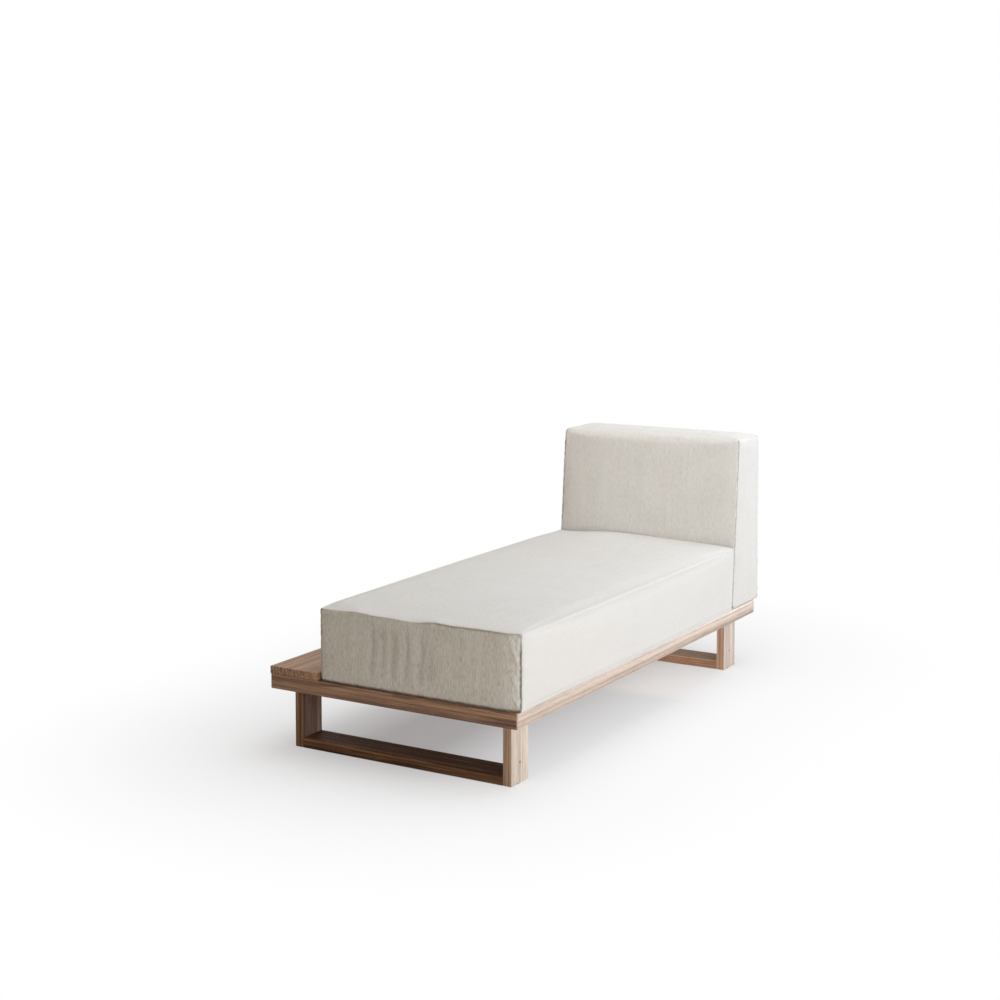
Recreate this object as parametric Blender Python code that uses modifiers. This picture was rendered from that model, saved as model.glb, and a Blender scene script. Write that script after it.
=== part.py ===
"""Low chaise longue: a mitred hardwood rim on two sled legs, decked with slats, with a shelf along
the left side, a loose seat cushion and an upholstered backrest. Metres, +Z up, front towards -Y."""

import math

import bmesh
import bpy
from mathutils import Vector

# Clearances
FIT = 0.0003  # gap between pieces that touch
HOLE_PLAY = 0.0005  # play round a screw, tenon or spline in its hole
HEAD_PLAY = 0.001  # play round a screw's head in its recess
END_PLAY = 0.002  # room past a screw's tip

# Rim of mitred rails
FRAME_WIDTH = 0.850
FRAME_LENGTH = 1.675
RAIL_HEIGHT = 0.044
RAIL_THICKNESS = 0.026
RAIL_CORNER_RADIUS = 0.005
LEDGE_WIDTH = 0.012  # rebate inside the rails, where the slats lie

# Hidden splines across the mitres
SPLINE_THICKNESS = 0.006
SPLINE_DEPTH = 0.008  # depth in each rail
SPLINE_SKIN = 0.003  # wood between a spline and the rail's faces

# Rounding of the straight boards' long edges
EASED_EDGE = 0.0012

# Slatted deck
SLAT_THICKNESS = 0.018
SLAT_WIDTH = 0.130
SLAT_COUNT = 9

# Sled legs and the cross bearers above them
LEG_HEIGHT = 0.1845  # from the glides to the rim's underside
LEG_DEPTH = 0.095
LEG_THICKNESS = 0.028
LEG_SIDE_INSET = 0.050
LEG_END_INSET = 0.055
FOOT_BOARD_HEIGHT = 0.030
LOOSE_TENON_THICKNESS = 0.008
LOOSE_TENON_WIDTH = 0.060
LOOSE_TENON_DEPTH = 0.012  # depth in each board
BEARER_TENON_LENGTH = 0.014
BEARER_TENON_THICKNESS = 0.010
BEARER_TENON_SHOULDER = 0.015
GLIDE_HEIGHT = 0.003
GLIDE_RADIUS = 0.010
GLIDE_NAIL_RADIUS = 0.0015
GLIDE_NAIL_COVER = 0.003  # wood between the nail's tip and the loose tenon above it

# Shelf along the left side
SHELF_WIDTH = 0.173
SHELF_THICKNESS = 0.023
SHELF_GAP = 0.005  # between the shelf and the upholstery
SHELF_SCREW_COUNT = 3

# Sewn covers
COVER_THICKNESS = 0.0012
SEAM_RADIUS = 0.008  # edges where two panels are sewn together
FOLD_RADIUS = 0.020  # edges where one panel folds over

# Loose seat cushion
SEAT_HEIGHT = 0.216  # deck to the cushion's top edges
SEAT_CROWN = 0.009
SEAT_FRONT_SETBACK = 0.009
SEAT_LEFT_FLARE = 0.005  # over the shelf's edge
SEAT_RIGHT_BULGE = 0.003
SEAT_FRONT_BULGE = 0.002
SEAT_BACK_GAP = 0.002

# Backrest
BACK_HEIGHT = 0.593  # deck to the middle of the top
BACK_DEPTH_BOTTOM = 0.247
BACK_DEPTH_TOP = 0.188
BACK_OVERHANG = 0.033  # past the rear rail, at the top
BACK_REAR_TAPER = 0.008  # the rear face's foot lies this far behind its top
BACK_CROWN = 0.006
BACK_SIDE_BULGE = 0.003
BACK_LEFT_FLARE = 0.0075  # over the shelf's edge, above the backrest's foot
BACK_FOAM_FRONT = 0.060
BACK_FOAM_REAR = 0.015
BACK_FOAM_TOP = 0.030
BACK_FOAM_SIDE = 0.020
BACK_BOARD = 0.018
BACK_PANEL = 0.009

# Screws: head radius, head height, shank radius, and the length held in the far piece
LEG_SCREW_HEAD_RADIUS = 0.007
LEG_SCREW_HEAD_HEIGHT = 0.005
LEG_SCREW_RADIUS = 0.004
LEG_SCREW_BITE = 0.045
LEG_SCREW_SPACING = 0.056
SHELF_SCREW_HEAD_RADIUS = 0.005
SHELF_SCREW_HEAD_HEIGHT = 0.003
SHELF_SCREW_RADIUS = 0.0025
SHELF_SCREW_BITE = 0.014
BACK_BOLT_HEAD_RADIUS = 0.008
BACK_BOLT_HEAD_HEIGHT = 0.006
BACK_BOLT_RADIUS = 0.004
BACK_BOLT_BITE = 0.014
BACK_BOLT_INSET = 0.130  # from the backrest's sides

# How soon a cushion's flare and crown are complete: the higher, the nearer to its edge
FLARE_POWER = 3
CROWN_POWER = 8

# Facets
ROUND_STEPS = 12
ARC_STEPS = 3
EASE_STEPS = 2

# Levels and lines that follow from the sizes above
TOTAL_LENGTH = FRAME_LENGTH + BACK_OVERHANG
FRONT_Y = -TOTAL_LENGTH / 2
REAR_Y = FRONT_Y + FRAME_LENGTH
RIGHT_X = FRAME_WIDTH / 2
LEG_BOTTOM_Z = GLIDE_HEIGHT + FIT
GLIDE_NAIL_LENGTH = (FOOT_BOARD_HEIGHT - LOOSE_TENON_THICKNESS) / 2 - GLIDE_NAIL_COVER
RIM_Z = GLIDE_HEIGHT + LEG_HEIGHT
DECK_Z = RIM_Z + RAIL_HEIGHT
SLAT_Z = DECK_Z - SLAT_THICKNESS
SHELF_EDGE_X = SHELF_WIDTH - RIGHT_X
CUSHION_LEFT_X = SHELF_EDGE_X + SHELF_GAP
CUSHION_MID_X = (CUSHION_LEFT_X + RIGHT_X) / 2
CUSHION_HALF_WIDTH = (RIGHT_X - CUSHION_LEFT_X) / 2
SKIN = FIT + COVER_THICKNESS  # from a foam block's surface to its cover's outer face
UPRIGHT_X = RIGHT_X - LEG_SIDE_INSET - LEG_THICKNESS / 2
LEG_Y = {
    "front": FRONT_Y + LEG_END_INSET + LEG_DEPTH / 2,
    "rear": REAR_Y - LEG_END_INSET - LEG_DEPTH / 2,
}
SIDES = {"left": -1, "right": 1}

for leftover in list(bpy.data.objects):
    bpy.data.objects.remove(leftover)

PARTS = bpy.data.collections.new("chaise_longue")
CUTTERS = bpy.data.collections.new("cutters")
for collection in (PARTS, CUTTERS):
    bpy.context.scene.collection.children.link(collection)


def finish(name, colour, roughness, metallic=0.0):
    """A plain material of one colour."""
    material = bpy.data.materials.new(name)
    material.use_nodes = True
    shader = material.node_tree.nodes["Principled BSDF"]
    shader.inputs["Base Color"].default_value = (*colour, 1.0)
    shader.inputs["Roughness"].default_value = roughness
    shader.inputs["Metallic"].default_value = metallic
    return material


HARDWOOD = finish("oiled_hardwood", (0.33, 0.20, 0.12), 0.55)
PLYWOOD = finish("plywood", (0.55, 0.42, 0.28), 0.7)
LINEN = finish("natural_linen", (0.72, 0.69, 0.63), 0.95)
FOAM = finish("upholstery_foam", (0.82, 0.79, 0.68), 0.9)
STEEL = finish("zinc_plated_steel", (0.62, 0.62, 0.60), 0.35, 1.0)
NYLON = finish("black_nylon", (0.02, 0.02, 0.02), 0.5)


def empty(name, location):
    """A handle that a group of pieces hangs on."""
    handle = bpy.data.objects.new(name, None)
    handle.location = location
    PARTS.objects.link(handle)
    return handle


FRAME = empty("frame_handle", (0, 0, 0))
SEAT = empty("seat_lift_axis", (CUSHION_MID_X, FRONT_Y + FRAME_LENGTH / 2, DECK_Z))


def piece(name, mesh, material, location=(0, 0, 0), turn=0.0, handle=FRAME):
    """A named piece of the chaise, set in place and turned about Z."""
    made = bpy.data.objects.new(name, mesh)
    made.data.materials.append(material)
    PARTS.objects.link(made)
    made.parent = handle
    made.location = Vector(location) - handle.location
    made.rotation_euler.z = turn
    return made


def cutter(name, mesh, location=(0, 0, 0), turn=0.0):
    """A shape that is only taken away from pieces."""
    made = bpy.data.objects.new(name + "_cutter", mesh)
    CUTTERS.objects.link(made)
    made.location = location
    made.rotation_euler.z = turn
    made.hide_render = True
    made.display_type = "WIRE"
    return made


def cut(made, *tools):
    """Takes each tool's shape away from a piece."""
    for tool in tools:
        boolean = made.modifiers.new(tool.name, "BOOLEAN")
        boolean.operation = "DIFFERENCE"
        boolean.object = tool


def mesh_from(name, bm):
    """Writes the edited shape to a mesh."""
    mesh = bpy.data.meshes.new(name)
    bm.to_mesh(mesh)
    bm.free()
    return mesh


def ease(bm, grain):
    """Rounds the edges of a box that run along its grain: x, y or z."""
    axis = "xyz".index(grain)
    long_edges = [
        edge
        for edge in bm.edges
        if abs((edge.verts[0].co - edge.verts[1].co).normalized()[axis]) > 0.99
    ]
    bmesh.ops.bevel(
        bm, geom=long_edges, offset=EASED_EDGE, segments=EASE_STEPS, profile=0.5, affect="EDGES"
    )


def block(name, size, grain=None):
    """A box centred on its origin, with the edges along its grain eased."""
    bm = bmesh.new()
    bmesh.ops.create_cube(bm, size=1.0)
    bmesh.ops.scale(bm, vec=size, verts=bm.verts)
    if grain is not None:
        ease(bm, grain)
    return mesh_from(name, bm)


def between(low, high):
    """Size and middle of the box between two corners."""
    low, high = Vector(low), Vector(high)
    return high - low, (low + high) / 2


def board(name, low, high, material=HARDWOOD, grain=None, handle=FRAME):
    """A straight board between two corners."""
    size, middle = between(low, high)
    return piece(name, block(name, size, grain), material, middle, handle=handle)


def slab(name, outline, thickness):
    """A flat outline in the XY plane, given its thickness along Z."""
    curve = bpy.data.curves.new(name, "CURVE")
    curve.dimensions = "2D"
    curve.fill_mode = "BOTH"
    curve.extrude = thickness / 2
    spline = curve.splines.new("POLY")
    spline.points.add(len(outline) - 1)
    for point, (x, y) in zip(spline.points, outline):
        point.co = (x, y, 0, 1)
    spline.use_cyclic_u = True
    guide = bpy.data.objects.new(name, curve)
    CUTTERS.objects.link(guide)
    filled = bpy.data.meshes.new_from_object(guide.evaluated_get(bpy.context.evaluated_depsgraph_get()))
    bpy.data.objects.remove(guide)
    bm = bmesh.new()
    bm.from_mesh(filled)
    bmesh.ops.remove_doubles(bm, verts=bm.verts, dist=FIT / 10)
    bmesh.ops.recalc_face_normals(bm, faces=bm.faces)
    return mesh_from(name, bm)


def arc(centre, radius, start, end):
    """Points on a round corner; the angles are in degrees."""
    steps = [start + (end - start) * k / ARC_STEPS for k in range(ARC_STEPS + 1)]
    return [
        (centre[0] + radius * math.cos(math.radians(a)), centre[1] + radius * math.sin(math.radians(a)))
        for a in steps
    ]


def turn_profile(made, profile):
    """Spins a profile of (radius, height) points, top to bottom, about Z."""
    bm = bmesh.new()
    points = [bm.verts.new((radius, 0, height)) for radius, height in profile]
    for upper, lower in zip(points, points[1:]):
        bm.edges.new((upper, lower))
    bm.to_mesh(made.data)
    bm.free()
    screw = made.modifiers.new("turned", "SCREW")
    screw.steps = screw.render_steps = ROUND_STEPS
    screw.use_merge_vertices = True
    screw.merge_threshold = 0.00001


def screw_in(name, seat, up, head, shank_radius, length, recess, boards):
    """A screw whose head bears at seat, pointing up or down, with its hole through the given boards."""
    head_radius, head_height = head
    shank = [(shank_radius, 0), (shank_radius, -length), (0, -length)]
    made = piece(name, bpy.data.meshes.new(name), STEEL, seat)
    turn_profile(made, [(0, head_height), (head_radius, head_height), (head_radius, 0), *shank])
    hole_radius = shank_radius + HOLE_PLAY
    pocket_radius = head_radius + HEAD_PLAY
    mouth = recess + HEAD_PLAY
    bottom = -length - END_PLAY
    hole = cutter(name, bpy.data.meshes.new(name + "_hole"), seat)
    turn_profile(
        hole,
        [
            (0, mouth),
            (pocket_radius, mouth),
            (pocket_radius, -FIT),
            (hole_radius, -FIT),
            (hole_radius, bottom),
            (0, bottom),
        ],
    )
    if up:
        made.rotation_euler.x = hole.rotation_euler.x = math.pi
    for held in boards:
        cut(held, hole)
    return made


def rail(name, length, location, turn):
    """A rim rail: its outer face on local y = 0, mitred at both ends, with rounded tips."""
    half = length / 2 - FIT
    radius = RAIL_CORNER_RADIUS
    outline = [
        *arc((radius - half, radius), radius, 225, 270),
        *arc((half - radius, radius), radius, 270, 315),
        (half - RAIL_THICKNESS, RAIL_THICKNESS),
        (RAIL_THICKNESS - half, RAIL_THICKNESS),
    ]
    mesh = slab(name, outline, RAIL_HEIGHT)
    return piece(name, mesh, HARDWOOD, (*location, RIM_Z + RAIL_HEIGHT / 2), turn)


# Rim: four rails, rebated inside for the slats
RAILS = {
    "front": rail("front_rail", FRAME_WIDTH, (0, FRONT_Y), 0),
    "right": rail("right_rail", FRAME_LENGTH, (RIGHT_X, FRONT_Y + FRAME_LENGTH / 2), math.pi / 2),
    "rear": rail("rear_rail", FRAME_WIDTH, (0, REAR_Y), math.pi),
    "left": rail("left_rail", FRAME_LENGTH, (-RIGHT_X, FRONT_Y + FRAME_LENGTH / 2), -math.pi / 2),
}
REBATE_WALL = RAIL_THICKNESS - LEDGE_WIDTH
REBATE_SIZE, REBATE_MIDDLE = between(
    (REBATE_WALL - RIGHT_X, FRONT_Y + REBATE_WALL, SLAT_Z),
    (RIGHT_X - REBATE_WALL, REAR_Y - REBATE_WALL, DECK_Z + RAIL_HEIGHT),
)
REBATE = cutter("rebate", block("rebate", REBATE_SIZE), REBATE_MIDDLE)
for rim_rail in RAILS.values():
    cut(rim_rail, REBATE)


def corner_spline(end, side):
    """A loose tongue across one mitre, hidden in the lower part of the two rails."""
    mitre = RAIL_THICKNESS * math.sqrt(2)
    length = mitre - 2 * (SPLINE_DEPTH + SPLINE_SKIN * math.sqrt(2))
    size = Vector((length, 2 * SPLINE_DEPTH, SPLINE_THICKNESS))
    x_way = SIDES[side]
    y_way = 1 if end == "rear" else -1
    inward = mitre / 2 / math.sqrt(2)
    corner_y = REAR_Y if end == "rear" else FRONT_Y
    place = (
        x_way * (RIGHT_X - inward),
        corner_y - y_way * inward,
        RIM_Z + (RAIL_HEIGHT - SLAT_THICKNESS) / 2,
    )
    turn = math.atan2(y_way, x_way)
    name = f"corner_spline_{end}_{side}"
    piece(name, block(name, size), HARDWOOD, place, turn)
    play = Vector((2 * HOLE_PLAY,) * 3)
    slot = cutter(name, block(name + "_slot", size + play), place, turn)
    cut(RAILS[end], slot)
    cut(RAILS[side], slot)


for end_name in LEG_Y:
    for side_name in SIDES:
        corner_spline(end_name, side_name)


# Slats: laid across the rim, resting on the rails' rebates
DECK_FRONT_Y = FRONT_Y + REBATE_WALL + FIT
DECK_REAR_Y = REAR_Y - REBATE_WALL - FIT
DECK_HALF_WIDTH = RIGHT_X - REBATE_WALL - FIT
SLAT_PITCH = (DECK_REAR_Y - DECK_FRONT_Y - SLAT_WIDTH) / (SLAT_COUNT - 1)
SLAT_STARTS = [DECK_FRONT_Y + k * SLAT_PITCH for k in range(SLAT_COUNT)]
SLATS = [
    board(
        f"slat_{k + 1}",
        (-DECK_HALF_WIDTH, start, SLAT_Z + FIT),
        (DECK_HALF_WIDTH, start + SLAT_WIDTH, DECK_Z),
    )
    for k, start in enumerate(SLAT_STARTS)
]


def cross_bearer(end):
    """A board across the rim above a leg, tenoned into the side rails."""
    half_width = RIGHT_X - RAIL_THICKNESS - FIT
    size, middle = between(
        (-half_width, LEG_Y[end] - LEG_DEPTH / 2, RIM_Z),
        (half_width, LEG_Y[end] + LEG_DEPTH / 2, SLAT_Z - FIT),
    )
    name = f"cross_bearer_{end}"
    made = piece(name, block(name, size), HARDWOOD, middle)
    tenon_size = Vector(
        (
            size.x + 2 * BEARER_TENON_LENGTH,
            LEG_DEPTH - 2 * BEARER_TENON_SHOULDER,
            BEARER_TENON_THICKNESS,
        )
    )
    tenon = cutter(name + "_tenon", block(name + "_tenon", tenon_size), middle)
    union = made.modifiers.new("tenons", "BOOLEAN")
    union.operation = "UNION"
    union.object = tenon
    play = Vector((2 * HOLE_PLAY,) * 3)
    mortise = cutter(name + "_mortise", block(name + "_mortise", tenon_size + play), middle)
    for side in SIDES:
        cut(RAILS[side], mortise)
    return made


BEARERS = {end: cross_bearer(end) for end in LEG_Y}


def upright(end, side):
    """One standing board of a sled leg, screwed to its bearer, with a nailed glide below."""
    way = SIDES[side]
    made = board(
        f"leg_upright_{end}_{side}",
        (way * UPRIGHT_X - LEG_THICKNESS / 2, LEG_Y[end] - LEG_DEPTH / 2, LEG_BOTTOM_Z),
        (way * UPRIGHT_X + LEG_THICKNESS / 2, LEG_Y[end] + LEG_DEPTH / 2, RIM_Z - FIT),
        grain="z",
    )
    recess = LEG_SCREW_HEAD_HEIGHT + HEAD_PLAY
    seat_z = SLAT_Z - FIT - recess
    for number, offset in enumerate((-LEG_SCREW_SPACING / 2, LEG_SCREW_SPACING / 2), start=1):
        screw_in(
            f"leg_screw_{end}_{side}_{number}",
            (way * UPRIGHT_X, LEG_Y[end] + offset, seat_z),
            False,
            (LEG_SCREW_HEAD_RADIUS, LEG_SCREW_HEAD_HEIGHT),
            LEG_SCREW_RADIUS,
            seat_z - RIM_Z + LEG_SCREW_BITE,
            recess,
            (BEARERS[end], made),
        )
    glide(f"glide_{end}_{side}", (way * UPRIGHT_X, LEG_Y[end], GLIDE_HEIGHT), made)
    return made


def glide(name, place, foot):
    """A round pad on a nail, driven into the foot of an upright."""
    made = piece(name, bpy.data.meshes.new(name), NYLON, place)
    turn_profile(
        made,
        [
            (0, GLIDE_NAIL_LENGTH),
            (GLIDE_NAIL_RADIUS, GLIDE_NAIL_LENGTH),
            (GLIDE_NAIL_RADIUS, 0),
            (GLIDE_RADIUS, 0),
            (GLIDE_RADIUS, -GLIDE_HEIGHT),
            (0, -GLIDE_HEIGHT),
        ],
    )
    hole_radius = GLIDE_NAIL_RADIUS + HOLE_PLAY
    hole_top = GLIDE_NAIL_LENGTH + HOLE_PLAY
    hole = cutter(name, bpy.data.meshes.new(name + "_hole"), place)
    turn_profile(
        hole, [(0, hole_top), (hole_radius, hole_top), (hole_radius, -END_PLAY), (0, -END_PLAY)]
    )
    cut(foot, hole)


def foot_board(end, uprights):
    """The lying board of a sled leg, held between its uprights by loose tenons."""
    half_width = UPRIGHT_X - LEG_THICKNESS / 2 - FIT
    size, middle = between(
        (-half_width, LEG_Y[end] - LEG_DEPTH / 2, LEG_BOTTOM_Z),
        (half_width, LEG_Y[end] + LEG_DEPTH / 2, LEG_BOTTOM_Z + FOOT_BOARD_HEIGHT),
    )
    name = f"foot_board_{end}"
    made = piece(name, block(name, size, "x"), HARDWOOD, middle)
    tenon_size = Vector((2 * LOOSE_TENON_DEPTH, LOOSE_TENON_WIDTH, LOOSE_TENON_THICKNESS))
    play = Vector((2 * HOLE_PLAY,) * 3)
    for side, way in SIDES.items():
        tenon_name = f"loose_tenon_{end}_{side}"
        place = (way * (half_width + FIT / 2), LEG_Y[end], middle.z)
        piece(tenon_name, block(tenon_name, tenon_size), HARDWOOD, place)
        mortise = cutter(tenon_name, block(tenon_name + "_mortise", tenon_size + play), place)
        cut(made, mortise)
        cut(uprights[side], mortise)


for end_name in LEG_Y:
    foot_board(end_name, {side_name: upright(end_name, side_name) for side_name in SIDES})


def side_shelf():
    """A plank along the left rail, flush with the rim, screwed from below through the slats."""
    made = board(
        "side_shelf",
        (-RIGHT_X, FRONT_Y, DECK_Z + FIT),
        (SHELF_EDGE_X, REAR_Y, DECK_Z + FIT + SHELF_THICKNESS),
        grain="y",
    )
    recess = SHELF_SCREW_HEAD_HEIGHT + HEAD_PLAY
    seat_z = SLAT_Z + FIT + recess
    for k in range(SHELF_SCREW_COUNT):
        number = round(k * (SLAT_COUNT - 1) / (SHELF_SCREW_COUNT - 1))
        screw_in(
            f"shelf_screw_{k + 1}",
            (SHELF_EDGE_X - SHELF_WIDTH / 2, SLAT_STARTS[number] + SLAT_WIDTH / 2, seat_z),
            True,
            (SHELF_SCREW_HEAD_RADIUS, SHELF_SCREW_HEAD_HEIGHT),
            SHELF_SCREW_RADIUS,
            DECK_Z - seat_z + SHELF_SCREW_BITE,
            recess,
            (SLATS[number], made),
        )
    return made


side_shelf()


def swell(t):
    """1 in the middle of a panel, falling to 0 at its edges, where t is -1 or 1."""
    return 1.0 - t**4


def bow(w):
    """1 half way up a panel, falling to 0 at its foot, where w is 0, and at its top, where it is 1."""
    return 4 * w * (1 - w)


def flare(w):
    """0 at a panel's foot, rising to 1 at its top."""
    return 1 - (1 - w) ** FLARE_POWER


def past_front(v):
    """0 at a cushion's front edge, where v is -1, rising to 1 a short way behind it."""
    return 1 - ((1 - v) / 2) ** CROWN_POWER


def stations(half_size, radius, inner):
    """Places of a cage's rings along one side: the edges, a ring at the edge radius, and inner ones."""
    ring = 1.0 - radius / half_size
    return [-1.0, -ring, *inner, ring, 1.0]


def cage(across, along, up, shape, dropped=None):
    """A cube cut by planes at the stations, each point moved by shape(u, v, w), less the dropped faces."""
    bm = bmesh.new()
    bmesh.ops.create_cube(bm, size=2.0)
    for axis, places in enumerate((across, along, up)):
        normal = Vector((0, 0, 0))
        normal[axis] = 1.0
        for place in places[1:-1]:
            everything = bm.verts[:] + bm.edges[:] + bm.faces[:]
            bmesh.ops.bisect_plane(bm, geom=everything, plane_co=normal * place, plane_no=normal)
    crease = bm.edges.layers.float.new("crease_edge")
    for edge in bm.edges:
        rim = sum(face.calc_center_median().z < -0.999 for face in edge.link_faces) == 1
        edge[crease] = 1.0 if rim else 0.0
    if dropped:
        gone = [face for face in bm.faces if dropped(face.calc_center_median())]
        bmesh.ops.delete(bm, geom=gone, context="FACES")
    for vert in bm.verts:
        vert.co = shape(vert.co.x, vert.co.y, (vert.co.z + 1) / 2)
    return bm


def soften(made, shell):
    """Rounds a cage into a soft form; a shell is lifted off it and given its cloth's thickness."""
    rounding = made.modifiers.new("soft_form", "SUBSURF")
    rounding.levels = rounding.render_levels = 1
    if shell:
        lift = made.modifiers.new("lift", "DISPLACE")
        lift.strength = FIT
        lift.mid_level = 0.0
        cloth = made.modifiers.new("cloth", "SOLIDIFY")
        cloth.thickness = COVER_THICKNESS
        cloth.offset = 1.0
        cloth.use_even_offset = True


def bottom(middle):
    """True for a cage's bottom faces."""
    return middle.z < -0.999


def front_line(z):
    """Y of the backrest's front face at a height."""
    share = (z - DECK_Z) / BACK_HEIGHT
    return rear_line(z) - BACK_DEPTH_BOTTOM + share * (BACK_DEPTH_BOTTOM - BACK_DEPTH_TOP)


def rear_line(z):
    """Y of the backrest's rear face at a height."""
    share = (z - DECK_Z) / BACK_HEIGHT
    return REAR_Y + BACK_OVERHANG + BACK_REAR_TAPER * (1 - share)


# Seat cushion: a foam block in a sewn cover with a bottom panel
SEAT_BASE_Z = DECK_Z + FIT
SEAT_FOAM_Z = SEAT_BASE_Z + COVER_THICKNESS + FIT
SEAT_TOP_Z = DECK_Z + SEAT_HEIGHT


def seat_rear(z):
    """Y of the cushion's rear face, which leans as the backrest does."""
    return front_line(z) - SEAT_BACK_GAP


def seat_point(u, v, w):
    """A point of the seat foam: crowned on top, flared on the left, bulging on the right and in front."""
    side_bulge = SEAT_LEFT_FLARE * flare(w) if u < 0 else SEAT_RIGHT_BULGE * bow(w)
    half_width = CUSHION_HALF_WIDTH - SKIN + side_bulge * past_front(v)
    top_z = SEAT_TOP_Z - SKIN + SEAT_CROWN * swell(u) * past_front(v)
    z = SEAT_FOAM_Z + w * (top_z - SEAT_FOAM_Z)
    front_y = FRONT_Y + SEAT_FRONT_SETBACK + SKIN - SEAT_FRONT_BULGE * swell(u) * bow(w)
    rear_y = seat_rear(z) - SKIN
    y = front_y + (v + 1) / 2 * (rear_y - front_y)
    return Vector((CUSHION_MID_X + u * half_width, y, z))


SEAT_HALF_LENGTH = (seat_rear(DECK_Z) - FRONT_Y - SEAT_FRONT_SETBACK) / 2
SEAT_STATIONS = (
    stations(CUSHION_HALF_WIDTH, FOLD_RADIUS, (-0.35, 0.35)),
    stations(SEAT_HALF_LENGTH, SEAM_RADIUS, (-0.7, -0.25, 0.25, 0.7)),
    [-1.0, -0.3, 0.4, 1.0 - 2 * FOLD_RADIUS / SEAT_HEIGHT, 1.0],
)
seat_foam = piece(
    "seat_foam", mesh_from("seat_foam", cage(*SEAT_STATIONS, seat_point)), FOAM, SEAT.location, handle=SEAT
)
seat_cover = piece(
    "seat_cover",
    mesh_from("seat_cover", cage(*SEAT_STATIONS, seat_point, bottom)),
    LINEN,
    SEAT.location,
    handle=SEAT,
)
for soft_piece in (seat_foam, seat_cover):
    soft_piece.data.transform(SEAT.matrix_basis.inverted())
soften(seat_foam, shell=False)
soften(seat_cover, shell=True)

board(
    "seat_bottom_panel",
    (CUSHION_LEFT_X + SKIN, FRONT_Y + SEAT_FRONT_SETBACK + SKIN, SEAT_BASE_Z),
    (RIGHT_X - SKIN, seat_rear(SEAT_BASE_Z) - SKIN, SEAT_BASE_Z + COVER_THICKNESS),
    LINEN,
    handle=SEAT,
)

# Backrest: a plywood carcass inside a foam block, in a cover whose hem turns under
BACK_BASE_Z = DECK_Z + FIT + COVER_THICKNESS + FIT
BACK_TOP_Z = DECK_Z + BACK_HEIGHT
CARCASS_TOP_Z = BACK_TOP_Z - BACK_CROWN - BACK_FOAM_TOP
CARCASS_HALF_WIDTH = CUSHION_HALF_WIDTH - BACK_FOAM_SIDE


def back_point(u, v, w):
    """A point of the backrest's foam: leaning, narrower at the top, with swelled faces and a flared left."""
    upright_swell = swell(2 * w - 1)
    side_inset = SKIN + BACK_SIDE_BULGE * (1 - swell(v) * upright_swell)
    face_inset = SKIN + BACK_CROWN * (1 - swell(u) * upright_swell)
    top_z = BACK_TOP_Z - SKIN - BACK_CROWN * (1 - swell(u) * swell(v))
    z = BACK_BASE_Z + w * (top_z - BACK_BASE_Z)
    front_y = front_line(z) + face_inset
    rear_y = rear_line(z) - face_inset
    y = front_y + (v + 1) / 2 * (rear_y - front_y)
    half_width = CUSHION_HALF_WIDTH - side_inset
    if u < 0:
        half_width += BACK_LEFT_FLARE * flare(w)
    return Vector((CUSHION_MID_X + u * half_width, y, z))


BACK_STATIONS = (
    stations(CUSHION_HALF_WIDTH, SEAM_RADIUS, (-0.35, 0.35)),
    stations(BACK_DEPTH_TOP / 2, FOLD_RADIUS, (0.0,)),
    stations(BACK_HEIGHT / 2, FOLD_RADIUS, (-0.5, 0.0, 0.5)),
)
HEM_X = BACK_STATIONS[0][-2]
HEM_Y = BACK_STATIONS[1][-2]


def inside_hem(middle):
    """True for a cage's bottom faces, apart from the ring along its edge."""
    return bottom(middle) and abs(middle.x) < HEM_X and abs(middle.y) < HEM_Y


back_foam = piece("back_foam", mesh_from("back_foam", cage(*BACK_STATIONS, back_point)), FOAM)
back_cover = piece(
    "back_cover", mesh_from("back_cover", cage(*BACK_STATIONS, back_point, inside_hem)), LINEN
)
soften(back_foam, shell=False)
soften(back_cover, shell=True)


def carcass_front(z):
    """Y of the carcass's front face at a height."""
    return front_line(z) + BACK_FOAM_FRONT


def carcass_rear(z):
    """Y of the carcass's rear face at a height."""
    return rear_line(z) - BACK_FOAM_REAR


def upright_slab(name, corners, left_x, right_x):
    """An outline of (y, z) corners, given its width along X; returns its mesh in place."""
    mesh = slab(name, corners, right_x - left_x)
    bm = bmesh.new()
    bm.from_mesh(mesh)
    for vert in bm.verts:
        vert.co = (vert.co.z + (left_x + right_x) / 2, vert.co.x, vert.co.y)
    return mesh_from(name, bm)


def carcass_board(name, low_z, high_z, front=carcass_front, rear=carcass_rear, x_range=None):
    """A carcass piece between two heights and two leaning lines."""
    left_x, right_x = x_range or (CUSHION_MID_X - CARCASS_HALF_WIDTH, CUSHION_MID_X + CARCASS_HALF_WIDTH)
    corners = [(front(low_z), low_z), (rear(low_z), low_z), (rear(high_z), high_z), (front(high_z), high_z)]
    return piece(name, upright_slab(name, corners, left_x, right_x), PLYWOOD)


def behind_panel(z):
    """Y of the line just behind the carcass's front panel."""
    return carcass_front(z) + BACK_PANEL + FIT


def panel_rear(z):
    """Y of the front panel's rear face."""
    return carcass_front(z) + BACK_PANEL


BASE_TOP_Z = BACK_BASE_Z + BACK_BOARD
back_base = carcass_board("back_base", BACK_BASE_Z, BASE_TOP_Z)
carcass_board("back_front_panel", BASE_TOP_Z + FIT, CARCASS_TOP_Z, rear=panel_rear)
carcass_board("back_top_rail", CARCASS_TOP_Z - BACK_BOARD, CARCASS_TOP_Z, front=behind_panel)
for side_name, side_way in SIDES.items():
    outer_x = CUSHION_MID_X + side_way * CARCASS_HALF_WIDTH
    inner_x = outer_x - side_way * BACK_BOARD
    carcass_board(
        f"back_rib_{side_name}",
        BASE_TOP_Z + FIT,
        CARCASS_TOP_Z - BACK_BOARD - FIT,
        front=behind_panel,
        x_range=(min(outer_x, inner_x), max(outer_x, inner_x)),
    )


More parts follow.
